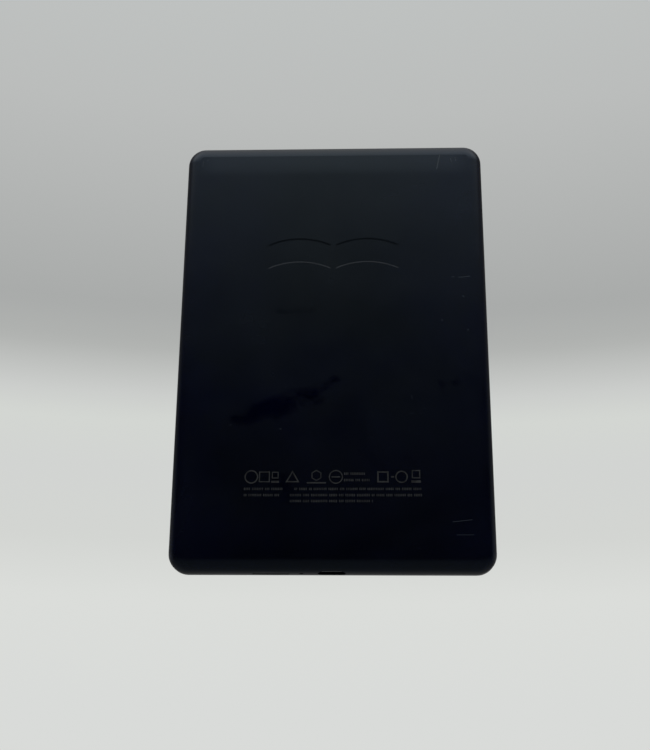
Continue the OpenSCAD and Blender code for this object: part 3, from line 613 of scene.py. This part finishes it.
# %% [markdown]
# ## Metals
#
# The chassis is a thin light-metal casting, blasted after it is trimmed: grey, dry and
# faintly cloudy where the metal flowed. Screws are blackened steel with turning marks.
# The shield cans and the socket are bright tinned sheet, brushed along one way. Foils
# and contacts are thin platings that show the marks of what lies under them.

# %% Chassis casting
tree, skin, place = start_finish("chassis_metal", 0.5, metallic=1.0)
flow = grain(tree, stretched(tree, place, 1, 1, 0.4), 11 * mm, 4.0, 0.6, 1.5)
colour_of(tree, skin, blend_colours(tree, flow, (0.33, 0.34, 0.35), (0.47, 0.48, 0.49)))
roughness_of(tree, skin, fade(tree, flow, 0.3, 0.7, 0.42, 0.58))
relief(tree, skin, (grain(tree, place, 0.15 * mm, 3.0, 0.65), 0.012 * mm),
       (flow, 0.02 * mm))

# %% [markdown]
# ## Screws
#
# Turning leaves rings on a screw, and blacking leaves it patchy. Warped bands stand in
# for the rings at this size, and noise mixes two near blacks.

# %% Screw steel
tree, skin, place = start_finish("screw_steel", 0.34, metallic=1.0)
turned = stripes(tree, place, 0.09 * mm, "X", warp=3.0)
blacking = grain(tree, place, 0.8 * mm, 3.0)
colour_of(tree, skin, blend_colours(tree, blacking, (0.06, 0.06, 0.065), (0.16, 0.16, 0.165)))
roughness_of(tree, skin, fade(tree, turned, 0.0, 1.0, 0.27, 0.42))
relief(tree, skin, (turned, 0.003 * mm))

# %% [markdown]
# ## Tinned sheet, copper and gold
#
# These three differ only in colour and in how coarse their brushing is, so one function
# makes them all. Its noise is stretched along the height, which gives straight brush
# lines.

# %% Tinned sheet, copper and gold
def plated(slot, roughness, dark, bright, brush, dent):
    """A bright thin plating with brush lines along the height and shallow dents."""
    tree, skin, place = start_finish(slot, roughness, metallic=1.0)
    lines = grain(tree, stretched(tree, place, 1, 1, 0.03), brush, 3.0, 0.6)
    stain = grain(tree, place, 4 * mm, 3.0, 0.55, 0.6)
    colour_of(tree, skin, blend_colours(tree, stain, dark, bright))
    roughness_of(tree, skin, fade(tree, lines, 0.3, 0.7, roughness - 0.07, roughness + 0.1))
    relief(tree, skin, (lines, 0.003 * mm), (stain, dent))


plated("shield_steel", 0.27, (0.50, 0.51, 0.52), (0.66, 0.67, 0.68), 0.06 * mm, 0.02 * mm)
plated("copper", 0.30, (0.55, 0.24, 0.12), (0.78, 0.40, 0.24), 0.10 * mm, 0.015 * mm)
plated("gold", 0.20, (0.70, 0.47, 0.16), (0.92, 0.68, 0.28), 0.04 * mm, 0.004 * mm)

# %% [markdown]
# ## The battery pouch
#
# A pouch cell is wrapped in foil that creases at its seams and dents where it is
# handled. Cell borders make the creases and noise makes the dents, each with its own
# depth.

# %% Battery pouch
tree, skin, place = start_finish("battery_foil", 0.38, metallic=0.9)
creases = cells(tree, stretched(tree, place, 1, 1, 0.6), 5 * mm, "DISTANCE_TO_EDGE")
crumple = grain(tree, place, 2.2 * mm, 3.0, 0.55, 1.0)
colour_of(tree, skin, blend_colours(tree, crumple, (0.30, 0.31, 0.32), (0.42, 0.43, 0.45)))
roughness_of(tree, skin, fade(tree, crumple, 0.3, 0.7, 0.30, 0.46))
relief(tree, skin, (fade(tree, creases, 0.0, 0.12), 0.04 * mm), (crumple, 0.05 * mm))

# %% [markdown]
# ## Board, chips and ribbons
#
# The board is glass cloth under a thin coat of lacquer, with copper tracks that show
# as low ridges. Chips are ground epoxy. Ribbons are amber film over parallel tracks.
# Sockets, capacitors and ferrite coils each have the dull bite of their own powder.

# %% Board laminate
tree, skin, place = start_finish("board_laminate", 0.35, coat=0.3)
weave = math_node(tree, "ADD", stripes(tree, place, 0.45 * mm, "X"),
                  stripes(tree, place, 0.45 * mm, "Z"))
tracks = fade(tree, cells(tree, place, 2.6 * mm, "DISTANCE_TO_EDGE"), 0.02, 0.07, 1.0, 0.0)
green = blend_colours(tree, fade(tree, weave, 0.0, 2.0), (0.004, 0.035, 0.022),
                      (0.007, 0.050, 0.032))
colour_of(tree, skin, blend_colours(tree, tracks, green, (0.014, 0.085, 0.050)))
roughness_of(tree, skin, fade(tree, grain(tree, place, 6 * mm), 0.3, 0.7, 0.28, 0.42))
relief(tree, skin, (weave, 0.003 * mm), (tracks, 0.02 * mm))

# %% [markdown]
# ## Chips
#
# Chip packages are moulded epoxy, ground flat in one direction. Noise stretched across
# the chip gives those grinding lines.

# %% Chip epoxy
tree, skin, place = start_finish("chip_black", 0.42)
ground = grain(tree, stretched(tree, place, 0.3, 1, 1), 0.1 * mm, 3.0, 0.65)
colour_of(tree, skin, blend_colours(tree, ground, (0.010, 0.010, 0.011), (0.022, 0.022, 0.023)))
roughness_of(tree, skin, fade(tree, ground, 0.3, 0.7, 0.36, 0.52))
relief(tree, skin, (ground, 0.006 * mm))

# %% [markdown]
# ## Ribbons
#
# Copper tracks run along a ribbon under amber film, and the film bulges over them.
# Stripes give both the colour and the relief, so they always agree.

# %% Amber ribbon
tree, skin, place = start_finish("ribbon_amber", 0.28, level=0.55, coat=0.2)
tracks = fade(tree, stripes(tree, place, 0.5 * mm, "X"), 0.45, 0.6)
colour_of(tree, skin, blend_colours(tree, tracks, (0.30, 0.105, 0.012), (0.50, 0.22, 0.045)))
roughness_of(tree, skin, fade(tree, grain(tree, place, 2 * mm, 3.0), 0.3, 0.7, 0.22, 0.36))
relief(tree, skin, (tracks, 0.008 * mm), (grain(tree, place, 1.5 * mm), 0.01 * mm))

# %% [markdown]
# ## Pressed and moulded small parts
#
# Ferrite, ceramic, nylon and dried glue are all made of specks of one size, with paler
# and darker patches. One function takes the speck size, two colours and a depth.

# %% Small dull parts
def powdery(slot, roughness, dark, light, size, depth, level=0.5):
    """A pressed or moulded body with specks of that size, light on dark."""
    tree, skin, place = start_finish(slot, roughness, level=level)
    specks = grain(tree, place, size, 4.0, 0.7)
    patches = grain(tree, place, 12 * size, 3.0)
    base = blend_colours(tree, fade(tree, specks, 0.35, 0.65), dark, light)
    colour_of(tree, skin, blend_colours(tree, fade(tree, patches, 0.3, 0.7, 0.0, 0.4), base, dark))
    roughness_of(tree, skin, fade(tree, patches, 0.3, 0.7, roughness - 0.07, roughness + 0.07))
    relief(tree, skin, (specks, depth))


powdery("socket_plastic", 0.50, (0.36, 0.33, 0.27), (0.50, 0.47, 0.40), 0.12 * mm, 0.006 * mm)
powdery("switch_plastic", 0.40, (0.010, 0.010, 0.011), (0.020, 0.020, 0.021), 0.1 * mm, 0.004 * mm)
powdery("coil_core", 0.70, (0.018, 0.018, 0.020), (0.060, 0.060, 0.064), 0.08 * mm, 0.012 * mm)
powdery("ceramic_part", 0.45, (0.20, 0.13, 0.07), (0.32, 0.22, 0.13), 0.08 * mm, 0.006 * mm)
powdery("glue", 0.55, (0.40, 0.39, 0.35), (0.52, 0.51, 0.46), 0.30 * mm, 0.010 * mm, 0.4)
powdery("lead_cover", 0.42, (0.12, 0.010, 0.008), (0.17, 0.016, 0.012), 0.15 * mm, 0.004 * mm)

# %% [markdown]
# ## Foam
#
# Foam is nothing but pores. Cells drive a painted shade, the roughness and a deep
# relief together, so that each pore is rough, sunk and painted dark as if in shadow.

# %% Foam
tree, skin, place = start_finish("foam", 0.9, level=0.2)
pores_and_shade = cells(tree, place, 0.35 * mm)
# Painted shade: each pore's colour is darker towards its sunk middle.
colour_of(tree, skin, blend_colours(tree, fade(tree, pores_and_shade, 0.1, 0.6), (0.008, 0.008, 0.009),
                                    (0.030, 0.030, 0.032)))
roughness_of(tree, skin, fade(tree, pores_and_shade, 0.1, 0.6, 0.98, 0.82))
relief(tree, skin, (pores_and_shade, 0.08 * mm))

# %% [markdown]
# ## Lamps
#
# A white lamp is a drop of clear resin with a yellow phosphor at its middle. Cells set
# the yellow spots, under a thin glossy coat.

# %% Lamp resin
tree, skin, place = start_finish("lamp_white", 0.25, coat=0.4)
phosphor = fade(tree, cells(tree, place, 0.5 * mm), 0.15, 0.5, 1.0, 0.0)
colour_of(tree, skin, blend_colours(tree, phosphor, (0.72, 0.71, 0.68), (0.75, 0.62, 0.18)))
roughness_of(tree, skin, fade(tree, grain(tree, place, 0.2 * mm), 0.3, 0.7, 0.18, 0.34))
relief(tree, skin, (grain(tree, place, 0.1 * mm), 0.003 * mm))

# %% [markdown]
# ## From finishes to solids
#
# Each solid of the frame names its material slot in the record, so one loop hands every
# solid its finish and none is left out.

# %% Put the finishes on the solids
for name, solid in nodes.items():
    solid.data.materials.clear()
    solid.data.materials.append(finishes[slot_of[name]])
print("finishes:", len(finishes), "on", len(nodes), "solids")

# %% [markdown]
# ## Print on the back
#
# Near the foot of the shell there is a row of small signs above three lines of fine
# print, both in a dull grey ink that barely shows. The ink is modelled as thin shapes
# two hundredths of a millimetre proud. The signs here are plain outlines and bars, and
# the lines are rows of short strokes, so nothing can be read. One stroke is made and
# copied, so that all of them are alike.

# %% Print ink
tree, skin, place = start_finish("print_ink", 0.6, level=0.3)
worn_ink = grain(tree, place, 1.6 * mm, 3.0, 0.6)
colour_of(tree, skin, blend_colours(tree, fade(tree, worn_ink, 0.35, 0.6), (0.006, 0.007, 0.009),
                                    (0.020, 0.022, 0.024)))
roughness_of(tree, skin, fade(tree, worn_ink, 0.3, 0.7, 0.68, 0.52))
relief(tree, skin, (grain(tree, place, 0.08 * mm, 2.0), 0.004 * mm))
print_ink = finishes["print_ink"]

# %% [markdown]
# ## Finishing a modelled piece
#
# Every modelled piece ends the same way. Its place is fixed into its mesh, it gets a
# name and a finish, and it is told which body it rides on, so that it moves with it.

# %% Modelling helpers
back_face = body_high.y
print("back face at", round(back_face / mm, 2), "mm")


def deselect():
    """Lets go of everything, because an operator acts on all that is selected."""
    bpy.ops.object.select_all(action="DESELECT")


def settle(piece, name, finish, body):
    """Names a finished piece, gives it its finish, and fixes its place in its mesh."""
    deselect()
    piece.select_set(True)
    bpy.context.view_layer.objects.active = piece
    bpy.ops.object.transform_apply(location=True, rotation=True, scale=True)
    piece.name = name
    piece.data.name = name
    piece.data.materials.clear()
    piece.data.materials.append(finish)
    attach(piece, body)
    return piece


def joined(pieces):
    """Several meshes made one."""
    deselect()
    for piece in pieces:
        piece.select_set(True)
    bpy.context.view_layer.objects.active = pieces[0]
    bpy.ops.object.join()
    return bpy.context.object


def copy_of(piece, x, z):
    """A copy with its own mesh, moved across and up the back, in mm."""
    made = piece.copy()
    made.data = piece.data.copy()
    bpy.context.scene.collection.objects.link(made)
    made.location = piece.location + Vector((x, 0, z)) * mm
    return made


# %% [markdown]
# ## One stroke of print
#
# A letter of this size is only a fleck, so a bar with softened corners stands for it.
# A plane is bevelled at its corners and raised by the thickness of the ink.

# %% One stroke of print
ink_proud = 0.02 * mm
stroke_w, stroke_h, stroke_soft = 0.34, 0.85, 0.1


def raise_ink():
    """Raises the flat shape in edit mode into ink, and leaves edit mode."""
    bpy.ops.mesh.select_all(action="SELECT")
    bpy.ops.mesh.extrude_region_move(TRANSFORM_OT_translate={"value": (0, ink_proud, 0)})
    bpy.ops.mesh.select_all(action="SELECT")
    bpy.ops.mesh.normals_make_consistent(inside=False)
    bpy.ops.object.mode_set(mode="OBJECT")


def bar_sign(x, up, wide, high, soft=0.08):
    """A filled bar with softened corners."""
    deselect()
    bpy.ops.mesh.primitive_plane_add(size=1, rotation=(-math.pi / 2, 0, 0),
                                     location=(-x * mm, back_face, up * mm))
    made = bpy.context.object
    made.scale = (wide * mm, high * mm, 1)
    bpy.ops.object.transform_apply(location=False, rotation=True, scale=True)
    bpy.ops.object.mode_set(mode="EDIT")
    bpy.ops.mesh.select_all(action="SELECT")
    bpy.ops.mesh.bevel(offset=soft * mm, segments=2, affect="VERTICES")
    raise_ink()
    return made


stroke = bar_sign(0, 0, stroke_w, stroke_h, stroke_soft)
print("one stroke:", len(stroke.data.polygons), "faces")

# %% [markdown]
# ## Lines of print
#
# A line of small print is seen as a grey texture of words. A list of word lengths and
# one pitch set the strokes, and a space is left between words. The strokes of all lines
# are joined, because they are one printing.

# %% Lines of print
pitch = 0.56
words = [4, 7, 3, 9, 5, 2, 8, 6, 3, 7, 4, 10, 5, 3, 6, 8, 2, 5]


def print_line(left, right, up, first_word, gap_from=None, gap_to=None):
    """Strokes from left to right, in words, with a gap where nothing is printed."""
    made = []
    x = left
    word = first_word
    letters = words[word]
    while x < right:
        if letters == 0:
            word = (word + 1) % len(words)
            letters = words[word]
            x += pitch * 0.8
        elif gap_from is not None and gap_from < x < gap_to:
            x = gap_to
        else:
            made.append(copy_of(stroke, -x, up))
            x += pitch
            letters -= 1
    return made


strokes = print_line(-29.2, 29.7, 27.5, 0, -16.5, -12.3)
strokes += print_line(-29.2, 29.7, 25.4, 5, -17.3, -13.8)
strokes += print_line(-13.8, 13.9, 23.4, 9)
strokes += print_line(4.2, 11.8, 32.7, 2)
strokes += print_line(4.2, 12.6, 30.5, 7)
bpy.data.objects.remove(stroke)
print_lines = settle(joined(strokes), "print_lines", print_ink, "reader")
print("print:", len(print_lines.data.polygons), "faces")

# %% [markdown]
# ## Signs above the print
#
# Signs on such a shell are thin outlines. A filled polygon is inset by the width of the
# line, the middle is deleted, and what is left is raised as ink. The number of sides
# makes it a ring, a frame or a triangle.

# %% Signs above the print
def outline_sign(sides, x, up, radius, line, turn=0.0):
    """A closed outline with that many sides: a ring, a frame or a triangle."""
    deselect()
    bpy.ops.mesh.primitive_circle_add(vertices=sides, radius=radius * mm, fill_type="NGON",
                                      rotation=(-math.pi / 2, 0, 0),
                                      location=(-x * mm, back_face, up * mm))
    made = bpy.context.object
    made.rotation_euler.y = turn
    bpy.ops.object.transform_apply(location=False, rotation=True, scale=False)
    bpy.ops.object.mode_set(mode="EDIT")
    bpy.ops.mesh.select_all(action="SELECT")
    bpy.ops.mesh.inset(thickness=line * mm)
    bpy.ops.mesh.delete(type="FACE")
    raise_ink()
    return made


sign_up = 31.6
signs = [
    outline_sign(40, -27.0, sign_up, 2.3, 0.42),
    outline_sign(4, -22.6, sign_up, 2.6, 0.36, math.pi / 4),
    outline_sign(4, -19.0, sign_up + 0.6, 1.6, 0.30, math.pi / 4),
    bar_sign(-19.0, sign_up - 1.7, 2.6, 0.7),
    outline_sign(3, -13.2, sign_up - 0.5, 2.7, 0.42, math.pi),
    outline_sign(6, -5.2, sign_up + 0.5, 1.9, 0.32),
    bar_sign(-5.2, sign_up - 2.0, 6.4, 0.5),
    outline_sign(40, 1.3, sign_up, 2.35, 0.36),
    bar_sign(1.3, sign_up, 2.9, 0.4),
    outline_sign(4, 17.0, sign_up, 2.7, 0.5, math.pi / 4),
    bar_sign(20.2, sign_up, 1.0, 0.5),
    outline_sign(40, 23.2, sign_up, 2.1, 0.42),
    outline_sign(4, 28.0, sign_up + 0.9, 2.0, 0.36, math.pi / 4),
    bar_sign(28.0, sign_up - 1.6, 3.2, 0.8),
]
print_signs = settle(joined(signs), "print_signs", print_ink, "reader")
print("signs:", len(print_signs.data.polygons), "faces")

# %% [markdown]
# ## Picking parts of a mesh
#
# The small parts at the bottom edge are modelled as by hand: points, edges or faces are
# picked by where they lie, and then moved, inset or bevelled. A rule for the place is
# surer than a list of numbers, which would change with every edit.

# %% Helpers for picking parts of a mesh
sharp_edge = math.radians(35)


def pick(piece, kind, wanted):
    """In edit mode, selects the parts for which wanted(middle in mm, part) holds."""
    bpy.ops.object.mode_set(mode="EDIT")
    bpy.ops.mesh.select_mode(type=kind)
    bpy.ops.mesh.select_all(action="DESELECT")
    shape = bmesh.from_edit_mesh(piece.data)
    parts = {"VERT": shape.verts, "EDGE": shape.edges, "FACE": shape.faces}[kind]
    found = 0
    for part in parts:
        if kind == "VERT":
            middle = part.co
        elif kind == "EDGE":
            middle = (part.verts[0].co + part.verts[1].co) / 2
        else:
            middle = part.calc_center_median()
        if wanted(middle / mm, part):
            part.select = True
            found += 1
    shape.select_flush_mode()
    bmesh.update_edit_mesh(piece.data)
    return found


def shift(x, y, z):
    """Moves what is selected, in mm."""
    bpy.ops.transform.translate(value=(x * mm, y * mm, z * mm))


def round_ended_bar(long, high, z0, z1, at, ends="NGON"):
    """A bar with round ends, standing from z0 to z1 (mm) about at = (x, y)."""
    deselect()
    bpy.ops.mesh.primitive_cylinder_add(vertices=48, radius=high / 2 * mm, depth=(z1 - z0) * mm,
                                        end_fill_type=ends)
    made = bpy.context.object
    pull = (long - high) / 2
    for side in (-1, 1):
        pick(made, "VERT", lambda c, v: c.x * side > 0.01)
        shift(side * pull, 0, 0)
    bpy.ops.object.mode_set(mode="OBJECT")
    made.location = Vector((at[0], at[1], (z0 + z1) / 2)) * mm
    bpy.ops.object.transform_apply(location=True, rotation=False, scale=False)
    return made


def soft_block(low, high, edge):
    """A block between two corners in mm with rounded edges."""
    deselect()
    low, high = Vector(low), Vector(high)
    bpy.ops.mesh.primitive_cube_add(size=1, location=(low + high) / 2 * mm)
    made = bpy.context.object
    made.scale = (high - low) * mm
    bpy.ops.object.transform_apply(location=True, rotation=False, scale=True)
    bpy.ops.object.mode_set(mode="EDIT")
    bpy.ops.mesh.select_all(action="SELECT")
    bpy.ops.mesh.bevel(offset=edge * mm, segments=2, affect="EDGES")
    bpy.ops.object.mode_set(mode="OBJECT")
    return made


def smooth(piece):
    """Smooth shading, except across edges sharper than the angle above."""
    deselect()
    piece.select_set(True)
    bpy.context.view_layer.objects.active = piece
    bpy.ops.object.shade_smooth_by_angle(angle=sharp_edge)


# %% [markdown]
# ## The bottom edge
#
# The socket, the light and the button sit in one row. Behind that row the edge rolls
# over into the back, and inside it the wall follows with a smaller radius. The rise of
# a circle at each place across the edge is what makes a part follow the roll.

# %% The bottom edge's measures
port_y = -0.4
roll = 5.0
roll_start = -1.0
wall_in = 1.42
button_low, button_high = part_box("power_button")
button_x = (button_low.x + button_high.x) / 2 / mm
button_sunk = button_low.z / mm
button_long, button_tall = 12.0, 2.2
cap_top, flange_top = 2.2, 2.6
same_row = 0.0006
print("button at x", round(button_x, 2), "mm, sunk", round(button_sunk, 2), "mm")


def roll_rise(y, radius):
    """How far a roll of that radius has risen, in mm, at that place across the edge."""
    over = max(0.0, y - roll_start)
    return radius - math.sqrt(radius * radius - over * over)


def lift_onto_roll(piece, below, radius):
    """Lifts each row of points that lies under a height onto a roll of that radius."""
    rows = {round(v.co.y / mm, 3) for v in piece.data.vertices if v.co.z < below * mm}
    for row in sorted(rows):
        pick(piece, "VERT", lambda c, v: abs(c.y - row) < same_row and c.z < below)
        shift(0, 0, roll_rise(row, radius))
    bpy.ops.object.mode_set(mode="OBJECT")


# %% [markdown]
# ## Power button
#
# The button is a small bar with round ends that sits a hair below the edge of the
# shell and follows its roll. A flange inside keeps it from falling out, and a stem
# reaches back to the switch. It starts as a cylinder whose two halves are pulled
# apart. Its face is inset three times and lifted a little for a shallow dish, its rim is
# bevelled, and each row of points is then lifted onto the roll.

# %% Power button
key = round_ended_bar(button_long, button_tall, button_sunk, cap_top, (button_x, port_y))
pick(key, "FACE", lambda c, f: f.normal.z < -0.9)
for inset, deeper in ((0.28, 0.0), (0.22, 0.05), (0.25, 0.02)):
    bpy.ops.mesh.inset(thickness=inset * mm)
    shift(0, 0, deeper)
rim = pick(key, "EDGE", lambda c, e: all(v.co.z < (button_sunk + 0.01) * mm for v in e.verts)
           and any(f.normal.z > -0.5 for f in e.link_faces))
bpy.ops.mesh.bevel(offset=0.14 * mm, segments=3, affect="EDGES")
bpy.ops.object.mode_set(mode="OBJECT")
lift_onto_roll(key, 1.0, roll)
flange = soft_block((button_low.x / mm, button_low.y / mm, wall_in),
                    (button_high.x / mm, button_high.y / mm, flange_top), 0.12)
lift_onto_roll(flange, 1.8, roll - wall_in)
stem_w, stem_t = 2.0, 1.2
stem = soft_block((button_x - stem_w / 2, port_y - stem_t / 2, flange_top - 0.2),
                  (button_x + stem_w / 2, port_y + stem_t / 2, button_high.z / mm), 0.1)
power_key = settle(joined([key, flange, stem]), "power_key", finishes["button_plastic"],
                   "power_button")
smooth(power_key)
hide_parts("power_button")
print("power button:", rim, "rim edges,", len(power_key.data.polygons), "faces")

# %% [markdown]
# ## Charging socket
#
# The socket's shell is one strip of thin steel wrapped into a tube with round ends.
# Its mouth is rolled so that the plug slides in, and four feet are soldered to the
# board. An open tube is pulled wide like the button, solidified inwards to the sheet's
# thickness, and its ends are rounded. The wrap's seam is a shallow line on one side.

# %% Charging socket
socket_low, socket_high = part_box("usb_shell")
shell_long, shell_tall, sheet_t = 8.94, 3.16, 0.3
seam_deep = 0.06
tube = round_ended_bar(shell_long, shell_tall, socket_low.z / mm, socket_high.z / mm,
                       (0, port_y), ends="NOTHING")
wall = tube.modifiers.new("wall", "SOLIDIFY")
wall.thickness = sheet_t * mm
wall.offset = -1
bpy.ops.object.modifier_apply(modifier=wall.name)
mouth = pick(tube, "EDGE", lambda c, e: abs(c.z - socket_low.z / mm) < 0.001
             and abs(e.calc_face_angle(0)) > 1.0)
bpy.ops.mesh.bevel(offset=0.11 * mm, segments=3, affect="EDGES")


def on_seam(middle, edge):
    """Whether an edge runs along the tube in the middle of its screen side."""
    long_way = abs(edge.verts[0].co.z - edge.verts[1].co.z) > 3 * mm
    return abs(middle.x) < 0.01 and middle.y < port_y - 1.5 and long_way


pick(tube, "EDGE", on_seam)
bpy.ops.mesh.bevel(offset=0.05 * mm, segments=2, affect="EDGES")
pick(tube, "EDGE", on_seam)
shift(0, seam_deep, 0)
bpy.ops.object.mode_set(mode="OBJECT")
foot_x = shell_long / 2 + 0.55
foot_w, foot_h = 1.8, 1.2
foot_rows = (5.0, 7.35)
board_face, foot_face = 0.25, 0.45
feet = [soft_block((side * foot_x - foot_w / 2, board_face, up - foot_h / 2),
                   (side * foot_x + foot_w / 2, foot_face, up + foot_h / 2), 0.04)
        for side in (-1, 1) for up in foot_rows]
socket_shell = settle(joined([tube] + feet), "socket_shell", finishes["shield_steel"],
                      "reader")
smooth(socket_shell)
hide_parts("usb_shell")
print("charging socket:", mouth, "mouth edges,", len(socket_shell.data.polygons), "faces")

# %% [markdown]
# ## Status light window
#
# A clear pipe carries the lamp's light from the board to a pinhole in the edge. Its
# end is a tiny dome, and its foot is a block over the lamp. A cylinder's end face is
# inset and lifted in steps to make the dome, which is quicker than turning a profile.

# %% Status light window
pipe_low, pipe_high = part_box("light_pipe")
pipe_x = (pipe_low.x + pipe_high.x) / 2 / mm
pipe_r = 0.55
pipe_long = 2.4
pipe_middle = 1.62
block_low, block_high, block_back = 2.7, 4.3, 1.0
deselect()
bpy.ops.mesh.primitive_cylinder_add(
    vertices=32, radius=pipe_r * mm, depth=pipe_long * mm,
    location=(pipe_x * mm, port_y * mm, pipe_middle * mm))
pipe = bpy.context.object
bpy.ops.object.transform_apply(location=True, rotation=False, scale=False)
pick(pipe, "FACE", lambda c, f: f.normal.z < -0.9)
for step, drop in ((0.12, 0.11), (0.14, 0.07), (0.14, 0.03)):
    bpy.ops.mesh.inset(thickness=step * mm)
    shift(0, 0, -drop)
bpy.ops.object.mode_set(mode="OBJECT")
pipe_foot = soft_block((pipe_low.x / mm, port_y - pipe_r, block_low),
                       (pipe_high.x / mm, block_back, block_high), 0.1)
light_window = settle(joined([pipe, pipe_foot]), "light_window", finishes["clear_plastic"],
                      "reader")
smooth(light_window)
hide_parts("light_pipe")
print("light window:", len(light_window.data.polygons), "faces")
